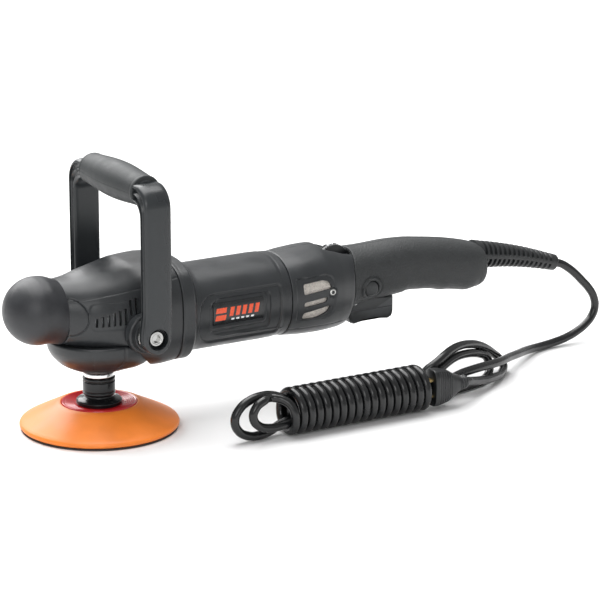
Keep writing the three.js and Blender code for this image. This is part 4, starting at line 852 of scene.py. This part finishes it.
trigger_start, trigger_end, trigger_top, trigger_bottom = 222.5, 264.5, 73.0, 50.6
finger = [
    (
        trigger_start + 5 + t * (trigger_end - trigger_start - 10),
        trigger_bottom + 1.7 * 4 * t * (1 - t) * 0.9 + 0.2 * t,
    )
    for t in np.linspace(0, 1, 22)
]
paddle = [
    (trigger_start, trigger_top), (trigger_start, trigger_bottom + 5),
    (trigger_start + 1.2, trigger_bottom + 1.6), *finger, (trigger_end - 1.2, trigger_bottom + 2),
    (trigger_end, trigger_bottom + 6), (trigger_end, trigger_top - 3), (trigger_end - 8, trigger_top - 3),
    (trigger_end - 12, trigger_top),
]
trigger_nylon = finish(
    "trigger_nylon", (0.014, 0.016, 0.017), 0.36, mottle=0.12, patch=9, grain=0.03, grain_size=0.5,
    worn=(0.07, 0.075, 0.08), wear=0.5,
)
trigger = slab(
    "trigger", rounded(paddle, 1.2, 4), -8.6, 8.6, 1.4, trigger_nylon, "trigger", "housing", ("trigger",),
)
line = rounded(
    [
        (trigger_start + 1.5, 61.6), (trigger_end - 1, 61.6), (trigger_end - 1, 61.0),
        (trigger_start + 1.5, 61.0),
    ],
    0.2, 3,
)
cut(
    trigger,
    prism("pin_hole", circle((226.5, 69.5), 2.45, 32), -20, 20),
    prism("line_left", line, -12, -8.2), prism("line_right", line, 8.2, 12),
)


# Trigger spring. A short coil of zinc-plated wire between the trigger and the switch above it.
spring_at, spring_radius, spring_wire, spring_turns = 248.5, 3.0, 0.45, 4
spring_bottom, spring_top = 73.5, 81.4
turn = np.linspace(0, 2 * np.pi * spring_turns, 24 * spring_turns)
rise = spring_bottom + (spring_top - spring_bottom) * turn / turn[-1]
coil = np.stack([spring_at + spring_radius * np.cos(turn), spring_radius * np.sin(turn), rise], -1)
points, faces = tubes([coil], spring_wire, 10)
spring = new_piece("trigger_spring", points, faces, zinc, "trigger", "steel", ("trigger_spring",), 60)
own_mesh(spring)


# Lock-on button. A nylon button in the near side of the grip that holds the trigger in.
button_face = 22.1
button_profile = softened(
    [
        (0.05, 8.0), (3, 8.0), (3, 5.2), (6.2, 5.2), (6.2, 0.9), (5.6, 0.2), (4.6, 0), (2.5, -0.28),
        (0.05, -0.35),
    ],
    0.5,
)
turned(
    "lock_on_button", button_profile, (button_at[0], -button_face, button_at[1]), "y", trigger_nylon,
    "lock_on", "housing", ("lock_on_button",),
)


# Speed dial. A ridged thumbwheel standing a little out of the top of the handle, with white
# printed speed numbers round its rim.
ridges = 48
t = np.linspace(0, 2 * np.pi, ridges * 16, endpoint=False)
wheel = np.array([dial_radius - 0.25 + 0.25 * np.cos(ridges * t)]).T * np.stack([np.cos(t), np.sin(t)], -1)
rows = []
for y in (-3.5, -3.35, -2.9, -2.0, -1.9, 1.9, 2.0, 2.9, 3.35, 3.5):
    shrink = {3.5: 0.96, 3.35: 0.985, 2.9: 1.0, 2.0: 1.0, 1.9: None}[abs(y)]
    flat = wheel * shrink if shrink else np.stack([np.cos(t), np.sin(t)], -1) * (dial_radius - 0.75)
    rows.append(np.stack([dial_at[0] + flat[:, 0], np.full(len(t), y), dial_at[1] + flat[:, 1]], -1))
dial_nylon = finish(
    "dial_nylon", (0.010, 0.011, 0.012), 0.34, mottle=0.12, patch=5, grain=0.02, grain_size=0.4,
    worn=(0.12, 0.125, 0.13), wear=0.7,
)
capped("speed_dial", np.array(rows), dial_nylon, "dial", "housing", ("speed_dial",))
print_white = finish(
    "print_white", (0.82, 0.83, 0.84), 0.5, mottle=0.06, patch=2, grain=0.01, grain_size=0.4,
)
strokes = {
    1: [(-0.5, 0.6), (0.1, 1), (0.1, -1)],
    2: [(-0.6, 0.55), (-0.3, 0.95), (0.3, 0.95), (0.6, 0.55), (0.45, 0.1), (-0.6, -1), (0.65, -1)],
    3: [
        (-0.55, 0.8), (0, 1), (0.5, 0.7), (0.4, 0.25), (0, 0.1), (0.5, -0.15), (0.6, -0.6), (0.1, -1),
        (-0.55, -0.8),
    ],
    4: [(0.6, -0.4), (-0.65, -0.4), (0.3, 1), (0.3, -1)],
    5: [(0.55, 1), (-0.45, 1), (-0.5, 0.15), (0.2, 0.2), (0.6, -0.3), (0.2, -0.95), (-0.5, -0.85)],
    6: [
        (0.45, 0.9), (-0.2, 0.7), (-0.55, 0), (-0.5, -0.7), (0, -1), (0.5, -0.7), (0.5, -0.2), (0, 0.1),
        (-0.5, -0.3),
    ],
}
digit_points, digit_faces = [], []
for number, stroke in strokes.items():
    centre = math.radians(143 - (number - 2) * 46)
    for (u1, v1), (u2, v2) in zip(stroke[:-1], stroke[1:]):
        a, b = np.array([u1, v1]) * (2.1, 2.5), np.array([u2, v2]) * (2.1, 2.5)
        along = (b - a) / np.linalg.norm(b - a)
        across = np.array([-along[1], along[0]]) * 0.42
        a, b = a - along * 0.25, b + along * 0.25
        base = len(digit_points)
        for radius in (dial_radius - 0.85, dial_radius - 0.02):
            for u, v in (a + across, b + across, b - across, a - across):
                turn = centre + v / dial_radius
                digit_points.append(
                    (dial_at[0] + radius * math.cos(turn), u * 1.1, dial_at[1] + radius * math.sin(turn))
                )
        digit_faces += [
            [base + i for i in face]
            for face in ((0, 1, 2, 3), (4, 5, 6, 7), (0, 1, 5, 4), (1, 2, 6, 5), (2, 3, 7, 6), (3, 0, 4, 7))
        ]
digits = bpy.data.meshes.new("dial_numbers")
digits.from_pydata((np.array(digit_points) * MM).tolist(), [], digit_faces)
digits.materials.append(print_white)
dial_numbers = bpy.data.objects.new("dial_numbers", digits)
bpy.context.collection.objects.link(dial_numbers)
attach(dial_numbers, "dial")


# Motor housing. One nylon barrel over the field coils, with a framed panel let into each side
# and a raised rib line under it.
motor_shape = outline(
    [
        (66.1, 50.5, 121.5, 35.5, 2.2), (76.1, 51.5, 120.5, 34.5, 2.1), (135.1, 51.5, 120.5, 34.5, 2.1),
        (155.1, 52.2, 119.5, 33.7, 2.2),
    ]
)
motor_wall = 4.6
x = stations(66.1, 155.1, 0.6)
angle = np.linspace(0, 2 * np.pi, 300, endpoint=False)
barrel = skin(motor_shape, x[:, None], angle[None, :])
normal = outward(barrel, True)
x, y, z = np.moveaxis(barrel, -1, 0)
outer_frame = in_panel(x, z, (108.5, 81.6), (37.0, 20.8), np.where(x < 108.5, 15.0, 3.0))
inner_frame = in_panel(x, z, (108.6, 82.6), (27.0, 15.4), np.where(x < 108.6, 9.0, 3.0))
badge_frame = in_panel(x, z, (107.0, 85.0), (23.6, 11.2), 2.0)
depth = rounding(x - 66.1, 0.9) + rounding(155.1 - x, 0.9)
depth += 1.2 * step_down(outer_frame, 1.3) + groove(outer_frame - 1.0, 1.1, 0.35)
depth += 1.1 * step_down(inner_frame, 0.9) - 0.7 * step_down(badge_frame + 1.2, 0.9)
depth += groove(z - 71.2 - 0.04 * (x - 106), 1.0, 0.5) * step_down(24 - np.abs(x - 107), 1.0) * (z < 80)
depth -= 0.6 * groove(z - 65.2 + 0.03 * (x - 120), 1.6, 1.0) * step_down(
    28 - np.abs(x - 121), 1.0,
) * (z < 80)
depth += groove(x - 148.6, 0.8, 0.3) + 0.25 * step_down(x - 146.5, 0.6)
outer = barrel - normal * depth[..., None]
inner = barrel - normal * motor_wall
walled("motor_housing", outer, inner, True, housing_black, "housing", "housing", ("motor_housing",))


# Badge plate. A thin gloss black plate set in the near side's frame, with a plain slanted
# orange-red pattern printed on it.
badge_black = finish(
    "badge_gloss", (0.013, 0.014, 0.015), 0.16, mottle=0.1, patch=9, grain=0.008, grain_size=2.0,
)
badge_red = finish("badge_red", (0.80, 0.085, 0.022), 0.3, mottle=0.08, patch=4, grain=0.01, grain_size=1.0)


def on_barrel(points, lift):
    """Puts flat outlines, given in X and Z, onto the near side of the motor barrel."""
    points = np.asarray(points, float)
    return np.stack(
        [points[:, 0], -(side_at(motor_shape, points[:, 0], points[:, 1]) + lift), points[:, 1]], -1,
    )


def decal(name, shape, low, high, material, slot, cad=()):
    """A thin curved plate over the motor barrel, between two lifts from its skin."""
    lift = np.linspace(0, 1, 18)
    bottom_edge, top_edge = shape
    rows = [np.array(bottom_edge) * (1 - t) + np.array(top_edge) * t for t in lift]
    flat = np.array(rows)
    front = np.stack([on_barrel(row, high) for row in flat])
    back = np.stack([on_barrel(row, low) for row in flat])
    return walled(name, front, back, False, material, "housing", slot, cad)


badge_x = np.linspace(83.6, 128.6, 40)
decal(
    "badge_plate", (np.stack([badge_x, np.full(40, 77.2)], -1), np.stack([badge_x, np.full(40, 94.8)], -1)),
    -1.5, -0.7, badge_black, "badge", ("badge_plate",),
)
lean = 0.22
bars = [(85.6, 9.2, 86.6, 90.6), (85.0, 9.2, 80.6, 84.9)]
bars += [(97.6 + 5.6 * k, 3.4, 83.2, 90.4) for k in range(5)]
bars += [(99.4 + 4.4 * k, 2.6, 80.0, 81.4) for k in range(5)]
for i, (bar_x, width, low_z, high_z) in enumerate(bars):
    x = np.linspace(bar_x, bar_x + width, 6)
    bar_bottom = np.stack([x, np.full(6, low_z)], -1)
    bar_top = np.stack([x + lean * (high_z - low_z), np.full(6, high_z)], -1)
    print_colour = badge_red if i < 7 else print_white
    decal(f"badge_bar_{i + 1}", (bar_bottom, bar_top), -0.72, -0.6, print_colour, "badge")


# Gearcase flange. A thick nylon ring clamped between the motor barrel and the head, with a
# fine joint line round it and a chamfer towards the motor.
flange_shape = outline([(51.8, 50, 131, 44, 3.0), (61.2, 50, 131, 44, 3.0), (65.8, 54.4, 127.4, 40.2, 2.7)])
x = np.concatenate([stations(51.8, 61.2, 0.8), np.linspace(61.5, 65.8, 12)])
angle = np.linspace(0, 2 * np.pi, 300, endpoint=False)
ring = skin(flange_shape, x[:, None], angle[None, :])
normal = outward(ring, True)
fallen = rounding(ring[..., 0] - 51.8, 0.8) + rounding(65.8 - ring[..., 0], 0.5) + groove(
    ring[..., 0] - 55.2, 0.7, 0.25,
)
bore = outline([(51.8, 54.6, 117.6, 31.6, 2.2), (65.8, 54.6, 117.6, 31.6, 2.2)])
walled(
    "gearcase_flange", ring - normal * fallen[..., None], skin(bore, x[:, None], angle[None, :]), True,
    housing_black, "housing", "housing", ("gearcase_flange",),
)


# Head cover. A nylon shroud over the cast gear housing, with eight cooling slots down each
# side that grow taller towards the back, and a round boss on each side for the loop handle.
head_shape = outline(
    [
        (-36, 73, 124, 24.5, 2.1), (-26, 67, 124.6, 29.5, 2.2), (-12, 60, 127, 35.5, 2.3),
        (5, 53, 130, 39.5, 2.5), (22, 50, 133, 41.5, 2.7), (40, 48, 133.6, 42.8, 2.8),
        (51.5, 49, 132.5, 43.4, 2.8),
    ]
)
head_wall, bail_pivot = 3.0, (18.5, 84.0)
pivot_place = (bail_pivot[0], 0, bail_pivot[1])
x = stations(-36, 51.5, 0.6)
angle = np.linspace(0, 2 * np.pi, 380, endpoint=False)
head = skin(head_shape, x[:, None], angle[None, :])
normal = outward(head, True)
x, y, z = np.moveaxis(head, -1, 0)
depth = rounding(x + 36, 0.5) * step_down(89 - z, 3) + rounding(51.5 - x, 0.7)
tongue = 1 - np.hypot((x + 36) / 13.0, (z - 98.5) / 15.0)
depth += groove(tongue * 13.5, 1.2, 0.75) * (x > -36)
vent_field = in_panel(x, z, (0.5, 98.5), (22.5, 10.5), 5.0)
depth += (np.abs(y) > 15) * (0.35 * step_down(vent_field, 1.2))
depth += 0.3 * groove(z - 110.5 - 0.13 * (x + 36), 1.2, 1.0) * (np.abs(y) > 10)
outer = head - normal * depth[..., None]
inner = head - normal * head_wall
cover = walled("head_cover", outer, inner, True, housing_black, "housing", "housing", ("head_cover",))


def ring_solid(name, radius, low, high, count=180):
    t = np.linspace(0, 2 * np.pi, count, endpoint=False)
    rows = [np.stack([radius * np.cos(t), radius * np.sin(t), np.full(count, z)], -1) for z in (low, high)]
    return bare(name, np.array(rows))


def cooling_slots():
    for k in range(8):
        left_edge = -18.5 + 4.4 * k
        low, high = (91.0, 94 + 4 + 1.2 * k) if left_edge + 2 <= 5.5 else (98.0, 99 + 4 + 1.2 * k)
        for side in (-1, 1):
            near, far = sorted((side * 18.0, side * 60.0))
            slot_outline = rounded(
                [(left_edge, low), (left_edge, high), (left_edge + 2, high), (left_edge + 2, low)], 0.8, 4,
            )
            yield prism("cooling_slot", slot_outline, near, far)


cut(
    cover, ring_solid("dish_room", 40.3, 30, 74.3), *cooling_slots(),
    prism("lock_hole", circle((0, 96), 6.0), 25, 60),
)
boss_profile = softened(
    [
        (15.6, 40.0), (15.6, 46.6), (14.6, 47.2), (14.2, 47.4), (14.0, 46.9), (13.5, 46.9), (13.2, 47.6),
        (13.0, 48.4), (13.0, 51.6), (12.0, 51.8), (5.2, 51.8), (5.2, 40.0),
    ],
    0.25,
)
for name, side in side_names:
    profile = boss_profile * (1, side)
    turned(
        "loop_boss_" + name, np.vstack([profile, profile[:1]]), pivot_place, "y", housing_black, "housing",
        "housing",
    )


# Nose bumper. A soft rubber bulb over the front of the head, which can be leaned against a
# panel without marking it.
bumper_rubber = finish(
    "bumper_rubber", (0.019, 0.020, 0.023), 0.44, mottle=0.16, patch=12, grain=0.05, grain_size=0.6,
    worn=(0.10, 0.105, 0.115), wear=0.5,
)
ball, ball_radius = (-52.0, 101.6), 26.7
swing = np.array([0.05, 0.12, 0.2, 0.3, 0.42, 0.54, 0.66, 0.8, 0.95, 1.12, 1.3, 1.5, 1.7])
nose = [
    (
        ball[0] - ball_radius * math.cos(a), ball[1] - ball_radius * math.sin(a),
        ball[1] + ball_radius * math.sin(a), ball_radius * math.sin(a), 2.0,
    )
    for a in swing
]
nose_shape = outline([*nose, (-36.1, 73, 124, 24.5, 2.1)])
x = np.concatenate(
    [
        ball[0] - ball_radius * np.cos(np.linspace(0.05, 1.5, 60)), np.linspace(-49.6, -37.2, 26),
        [-36.9, -36.6, -36.3, -36.1],
    ]
)
angle = np.linspace(0, 2 * np.pi, 240, endpoint=False)
bulb = skin(nose_shape, x[:, None], angle[None, :])
normal = outward(bulb, True)
lower_edge = step_down(89 - bulb[..., 2], 3)
depth = rounding(-36.1 - bulb[..., 0], 0.7) * lower_edge + groove(bulb[..., 1], 0.6, 0.12)
bumper = capped(
    "nose_bumper", bulb - normal * depth[..., None], bumper_rubber, "housing", "soft_rubber",
    ("nose_bumper",),
)
cut(bumper, ring_solid("dish_room", 40.3, 30, 74.3))


# Spindle housing. The nylon dish under the head that carries the lower spindle bearing, with a
# panel line round its nose side.
dish_front = [
    (12.6, 59.0), (12.6, 45.7), (14.0, 46.3), (15.0, 47.3), (22.0, 49.7), (31.2, 54.3), (37.2, 60.8),
    (39.4, 65.2), (40.0, 68.6), (40.0, 74.0), (27.0, 74.0),
]
dish_back = [
    (12.6, 59.0), (12.6, 45.7), (14.0, 46.3), (15.0, 47.3), (22.0, 49.2), (31.2, 51.2), (37.2, 54.2),
    (39.2, 56.8), (40.0, 60.4), (40.0, 74.0), (27.0, 74.0),
]


def finely(profile, counts):
    """A profile with each of its steps divided into the given number of parts."""
    out = [profile[:1]]
    for a, b, count in zip(profile[:-1], profile[1:], counts):
        out.append(a + (b - a) * np.arange(1, count + 1)[:, None] / count)
    return np.concatenate(out)


front_line, back_line = softened(dish_front, 2.2, 14), softened(dish_back, 1.6, 14)
longest = np.maximum(
    np.linalg.norm(np.diff(front_line, axis=0), axis=1), np.linalg.norm(np.diff(back_line, axis=0), axis=1),
)
counts = np.maximum(1, (longest / 0.7).astype(int))
front_line, back_line = finely(front_line, counts), finely(back_line, counts)
t = np.linspace(0, 2 * np.pi, 320, endpoint=False)
away = np.abs((np.degrees(t) + 180) % 360 - 180)
share = step_down((62 - away) / 44, 1.0)[None, :, None]
line = front_line[:, None] * (1 - share) + back_line[:, None] * share
dish = np.stack([line[..., 0] * np.cos(t), line[..., 0] * np.sin(t), line[..., 1]], -1)
along_rim = (away - 85) * math.radians(40.0)
height = dish[..., 2]
panel = np.minimum(along_rim[None, :], height - 53.6)
corner = np.where(
    (along_rim[None, :] < 7) & (height < 60.6), 7 - np.hypot(7 - along_rim[None, :], 60.6 - height), panel,
)
depth = groove(corner, 1.3, 0.9) * (height < 73.8) + groove(
    (away[None, :] - 123) * math.radians(38.0), 0.8, 0.35,
) * (height > 50) + 0.2 * step_down(corner, 0.8)
depth *= dish[..., 0] ** 2 + dish[..., 1] ** 2 > 16.5**2
flat = dish.copy()
flat[..., 2] = 0
outwards = flat / np.linalg.norm(flat, axis=2, keepdims=True)
dish = dish - (outwards * 0.7 + np.array([0, 0, -0.7]) * (height[..., None] < 66)) * depth[..., None]
capped("spindle_housing", dish, housing_black, "housing", "housing", ("spindle_housing",))


# Spindle lock. A spring-loaded nylon button on the far side of the head, ringed so that the
# finger finds it; pressed in, its steel pin holds the spindle still.
lock_profile = softened(
    [
        (0.05, 35.3), (5.4, 35.3), (5.4, 40.2), (4.9, 41.0), (4.2, 41.0), (4.0, 40.7), (3.5, 40.7),
        (3.3, 41.0), (0.05, 41.2),
    ],
    0.25,
)
turned(
    "spindle_lock_button", lock_profile, (0, 0, 96), "y", trigger_nylon, "spindle_lock", "housing",
    ("spindle_lock_button",),
)


# Loop handle. Two flat moulded legs rise from the bosses and turn inwards to a round bar. Each
# leg has a pair of channels down its front and back edges.
leg_near, leg_far = 53.8, 64.8
top_outer, top_inner, outer_corner, inner_corner, grip_half = 202.9, 187.9, 17.0, 12.0, 44.0


def leg_sections():
    """(inner point, outer point, middle X, half of X) in Y and Z, from the foot to the grip."""
    for swing in np.linspace(0.12, np.pi / 2, 26):
        z = bail_pivot[1] - 12 * np.cos(swing)
        thin = float(rounding(np.array(z - 72.0), 1.4))
        yield (leg_near + thin, z), (leg_far - thin, z), bail_pivot[0], 12 * np.sin(swing)
    for z in np.linspace(86, top_inner - inner_corner, 90):
        share = min(1.0, (z - 86) / 20)
        share = share * share * (3 - 2 * share)
        yield (leg_near, z), (leg_far, z), bail_pivot[0] + share * (20 - bail_pivot[0]), 12 - 0.5 * share
    for turn in np.linspace(0.02, np.pi / 2, 46):
        c, s = np.cos(turn), np.sin(turn)
        inner_point = (
            leg_near - inner_corner + inner_corner * c, top_inner - inner_corner + inner_corner * s,
        )
        outer_point = (
            leg_far - outer_corner + outer_corner * c, top_outer - outer_corner + outer_corner * s,
        )
        yield inner_point, outer_point, 20.0, 11.5
    for k, y in enumerate((44.75, 44.4, 44.25)):
        yield (min(y, 41.8), top_inner + 0.2 * k), (y, top_outer - 0.2 * k), 20.0, 11.5 - 0.2 * k


around = np.linspace(0, 2 * np.pi, 320, endpoint=False)
bail_nylon = finish(
    "bail_nylon", (0.018, 0.021, 0.023), 0.30, mottle=0.12, patch=22, grain=0.03, grain_size=0.5,
    worn=(0.07, 0.075, 0.08), wear=0.5, streaks=(1.0, 1.0, 0.35),
)
for name, side in side_names:
    rows = []
    for inner_point, outer_point, middle, half in leg_sections():
        inner_point, outer_point = np.array(inner_point), np.array(outer_point)
        centre, reach = (inner_point + outer_point) / 2, (outer_point - inner_point) / 2
        square = 5.0
        u = np.sign(np.cos(around)) * np.abs(np.cos(around)) ** (2 / square)
        v = np.sign(np.sin(around)) * np.abs(np.sin(around)) ** (2 / square)
        channel = 2.4 * (step_down(0.2 - np.abs(v - 0.36), 0.12) + step_down(0.2 - np.abs(v + 0.36), 0.12))
        channel *= (np.abs(u) > 0.7) * (half > 11.3)
        x = middle + u * half - np.sign(u) * channel
        yz = centre[None, :] + reach[None, :] * v[:, None]
        rows.append(np.stack([x, side * yz[:, 0], yz[:, 1]], -1))
    leg = capped(
        "bail_leg_" + name, np.array(rows), bail_nylon, "bail", "housing",
        ("bail_frame",) if side < 0 else (), 40,
    )
    recess = circle(bail_pivot, 8.4, 72)
    near, far = sorted((side * (leg_far - 7.0), side * 70.0))
    through_near, through_far = sorted((side * 50.0, side * 70.0))
    cut(
        leg, prism("recess", recess, near, far),
        prism("bolt_hole", circle(bail_pivot, 4.6), through_near, through_far),
    )
    rim = softened(
        [
            (8.4, leg_far - 0.6), (8.4, leg_far + 0.0), (9.4, leg_far + 0.0), (9.8, leg_far - 0.3),
            (9.8, leg_far - 0.6),
        ],
        0.15,
    ) * (1, side)
    turned(
        "bolt_recess_rim_" + name, np.vstack([rim, rim[:1]]), pivot_place, "y", bail_nylon, "bail",
        "housing",
    )
turned(
    "bail_bar", [(0.1, -46), (9, -46), (9, 46), (0.1, 46)], (20, 0, 195.4), "y", bail_nylon, "bail",
    "housing",
)


# Loop handle's grip. Thick rubber over the bar, fullest in the middle, with a lip at each end
# and a fine mould line along it.
grip_rows = np.concatenate([stations(-grip_half, grip_half, 0.7, (0, 0.2, 0.5, 1.0))])
t = np.linspace(0, 2 * np.pi, 200, endpoint=False)
swell = 12.6 + 2.5 * np.cos(np.clip(grip_rows / 40.5, -1, 1) * np.pi / 2) ** 1.3
fallen = rounding(grip_half - np.abs(grip_rows), 1.2) + groove(np.abs(grip_rows) - 40.6, 0.9, 0.4)
flat_under = 1 - 0.03 * np.clip(-np.sin(t), 0, 1)[None, :] + 0.012 * np.cos(2 * t)[None, :]
radius = (swell - fallen)[:, None] * flat_under
mould_line = groove((np.abs(np.sin(t)) * 15)[None, :] * np.ones_like(radius), 0.7, 0.18)
radius = radius - mould_line
grip = np.stack(
    np.broadcast_arrays(20 + radius * np.cos(t), grip_rows[:, None], 195.4 + radius * np.sin(t)), -1,
)
hand_rubber = finish(
    "hand_rubber", (0.020, 0.023, 0.024), 0.56, mottle=0.14, patch=7, grain=0.12, grain_size=0.7,
    worn=(0.11, 0.118, 0.12), wear=0.5,
)
capped("bail_grip", grip, hand_rubber, "bail", "grip_rubber", ("bail_grip",))


# Loop handle's bolts and washers. Chromed socket-head bolts at the bottom of the foot recesses,
# over zinc-plated washers between the feet and the bosses.
chrome = finish(
    "bolt_chrome", (0.42, 0.42, 0.41), 0.2, 1.0, mottle=0.05, patch=4, grain=0.01, grain_size=0.5,
)
for name, side in side_names:
    near = leg_far - 7.0 + 0.3
    profile = softened(
        [
            (0.05, near - 14), (4.0, near - 14), (4.0, near), (6.3, near), (6.3, near + 2.9),
            (5.6, near + 3.8), (4.2, near + 3.8), (3.9, near + 3.5), (0.05, near + 3.5),
        ],
        0.35,
    ) * (1, side)
    bolt = turned(
        "bail_bolt_" + name, profile, pivot_place, "y", chrome, "housing", "chrome", ("bail_bolt_" + name,),
        96,
    )
    low, high = sorted((side * (near + 0.8), side * (near + 9)))
    cut(bolt, prism("socket", hexagon(bail_pivot, 6.2), low, high))
    washer = softened([(4.4, 52.1), (11.0, 52.1), (11.0, 53.5), (4.4, 53.5)], 0.3) * (1, side)
    turned(
        "bail_washer_" + name, np.vstack([washer, washer[:1]]), pivot_place, "y", zinc, "housing", "steel",
        ("bail_washer_" + name,),
    )


# Pad adapter and spindle. The blackened steel collar screws onto the spindle; above it the
# spindle's turned shoulder shows as a bright ring under the dish.
black_steel = finish(
    "black_steel", (0.011, 0.012, 0.013), 0.2, 0.3, mottle=0.15, patch=6, grain=0.02, grain_size=0.6,
    worn=(0.10, 0.10, 0.10), wear=0.6,
)
collar_profile = softened(
    [
        (8.0, 23.4), (8.0, 19.8), (18.0, 19.8), (18.0, 22.4), (17.0, 23.4), (13.6, 24.4), (11.6, 25.6),
        (11.4, 26.2), (11.4, 26.9), (12.4, 27.6),
        (12.8, 28.2), (12.8, 29.6), (12.4, 29.9), (12.4, 30.4), (12.8, 30.7), (12.8, 37.8), (12.1, 38.2),
        (12.1, 38.8), (12.8, 39.2), (12.8, 40.8), (12.2, 41.4), (8.2, 41.4),
    ],
    0.35,
)
turned(
    "hub_collar", np.vstack([collar_profile, collar_profile[:1]]), (0, 0, 0), "z", black_steel, "spindle",
    "black_steel", ("hub_collar",), 180,
)
spindle_chrome = finish(
    "spindle_chrome", (0.80, 0.80, 0.80), 0.14, 1.0, mottle=0.05, patch=3, grain=0.012, grain_size=0.5,
)
turned(
    "spindle_shoulder_ring",
    softened(
        [
            (9.0, 43.0), (9.0, 41.8), (11.5, 41.8), (12.0, 42.3), (12.0, 44.6), (11.6, 44.9), (9.0, 44.9),
            (9.0, 43.0),
        ],
        0.3,
    ),
    (0, 0, 0), "z", spindle_chrome, "spindle", "chrome", (), 160,
)


# Backing plate. Gloss red nylon, dished towards the hub, with fine turned lines in its face
# and a dark joint where the cushion meets it.
red_gloss = finish(
    "plate_red", (0.62, 0.018, 0.024), 0.16, mottle=0.12, patch=9, grain=0.015, grain_size=1.2,
    worn=(0.8, 0.2, 0.18), wear=0.3,
)
r = np.linspace(18.6, 28.4, 110)
lines = 19.5 + 1.75 * ((r - 18.6) / 9.8) ** 1.6 + 0.2 * np.cos(2 * np.pi * (r - 18.6) / 1.5) * (
    (r > 19.6) & (r < 27.6)
)
plate_profile = [
    (0.1, 14.2), (29.3, 14.2), (29.5, 14.4), (29.5, 20.6), (29.2, 21.15), (28.8, 21.35),
    *zip(r[::-1], lines[::-1]), (18.0, 19.5), (0.1, 19.5),
]
turned("pad_plate", plate_profile, (0, 0, 0), "z", red_gloss, "spindle", "red_plate", ("pad_plate",), 200)


# Pad cushion. Moulded orange polyurethane foam with a closed skin, coned from a thin soft rim
# up to the plate.
cushion_orange = finish(
    "cushion_orange", (0.93, 0.24, 0.028), 0.42, mottle=0.1, patch=26, grain=0.05, grain_size=1.0,
    worn=(0.95, 0.36, 0.12), wear=0.4,
)
cushion_profile = softened(
    [
        (0.1, 1.8), (61.0, 1.8), (62.1, 2.9), (62.5, 4.0), (61.9, 5.6), (60.0, 6.9), (50.0, 12.0),
        (40.0, 16.9), (34.0, 19.9), (31.6, 20.7), (30.4, 20.9), (29.8, 20.5), (29.8, 13.9), (0.1, 13.9),
    ],
    1.1, 8,
)
cushion = turned(
    "pad_cushion", cushion_profile, (0, 0, 0), "z", cushion_orange, "spindle", "orange_pad",
    ("pad_cushion",), 240, 50,
)


# Hook face. A dark disc of fine hooks bonded under the cushion, which holds the polishing bonnet.
hook_cloth = finish(
    "hook_cloth", (0.045, 0.040, 0.038), 0.85, mottle=0.3, patch=1.6, grain=0.35, grain_size=0.6,
)
turned(
    "pad_hook_face",
    softened([(0.1, 0.0), (60.9, 0.0), (61.3, 0.4), (61.3, 1.1), (60.9, 1.5), (0.1, 1.5)], 0.3), (0, 0, 0),
    "z", hook_cloth, "spindle", "hook_fabric", ("pad_hook_face",), 240,
)


# Inside. The gearbox, motor and switchgear keep the shapes they are packed with and are given
# their own finishes: cast alloy, ground steel, blackened laminations, lacquered copper, carbon.
cast_alloy = finish(
    "cast_alloy", (0.52, 0.53, 0.54), 0.48, 0.85, mottle=0.15, patch=5, grain=0.12, grain_size=0.8,
    worn=(0.75, 0.76, 0.77), wear=0.6,
)
ground_steel = finish(
    "ground_steel", (0.56, 0.57, 0.58), 0.26, 1.0, mottle=0.1, patch=3, grain=0.02, grain_size=0.4,
    worn=(0.8, 0.8, 0.8), wear=0.5,
)
laminations = finish(
    "laminations", (0.16, 0.165, 0.18), 0.42, 0.7, mottle=0.25, patch=2, grain=0.1, grain_size=0.5,
    streaks=(6.0, 1.0, 1.0),
)
lacquered_copper = finish(
    "lacquered_copper", (0.58, 0.20, 0.075), 0.32, 0.75, mottle=0.25, patch=1.4, grain=0.12, grain_size=0.5,
)
brush_carbon = finish(
    "brush_carbon", (0.028, 0.028, 0.030), 0.6, 0.1, mottle=0.25, patch=1.2, grain=0.05, grain_size=0.3,
)
white_nylon = finish(
    "white_nylon", (0.62, 0.61, 0.57), 0.5, mottle=0.1, patch=6, grain=0.03, grain_size=0.6,
)
board_green = finish(
    "board_green", (0.03, 0.16, 0.07), 0.38, mottle=0.2, patch=3, grain=0.03, grain_size=0.8,
)
inside = {
    cast_alloy: ("gear_housing",),
    ground_steel: (
        "spindle_bearing", "spindle_needle_bearing", "motor_front_bearing", "motor_rear_bearing",
        "trigger_pin", "spindle_shaft", "crown_gear", "bevel_pinion", "armature_shaft",
    ),
    laminations: ("field_core", "armature_core"),
    lacquered_copper: ("field_coil_upper", "field_coil_lower", "commutator"),
    brush_carbon: ("carbon_brush_left", "carbon_brush_right"),
    brass: ("brush_holder_left", "brush_holder_right"),
    white_nylon: ("cooling_fan", "motor_end_frame"),
    trigger_nylon: ("trigger_switch", "cord_clamp"),
    board_green: ("speed_control_board",),
}
for material, names in inside.items():
    for name in names:
        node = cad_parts[name]
        node.data.materials.clear()
        node.data.materials.append(material)
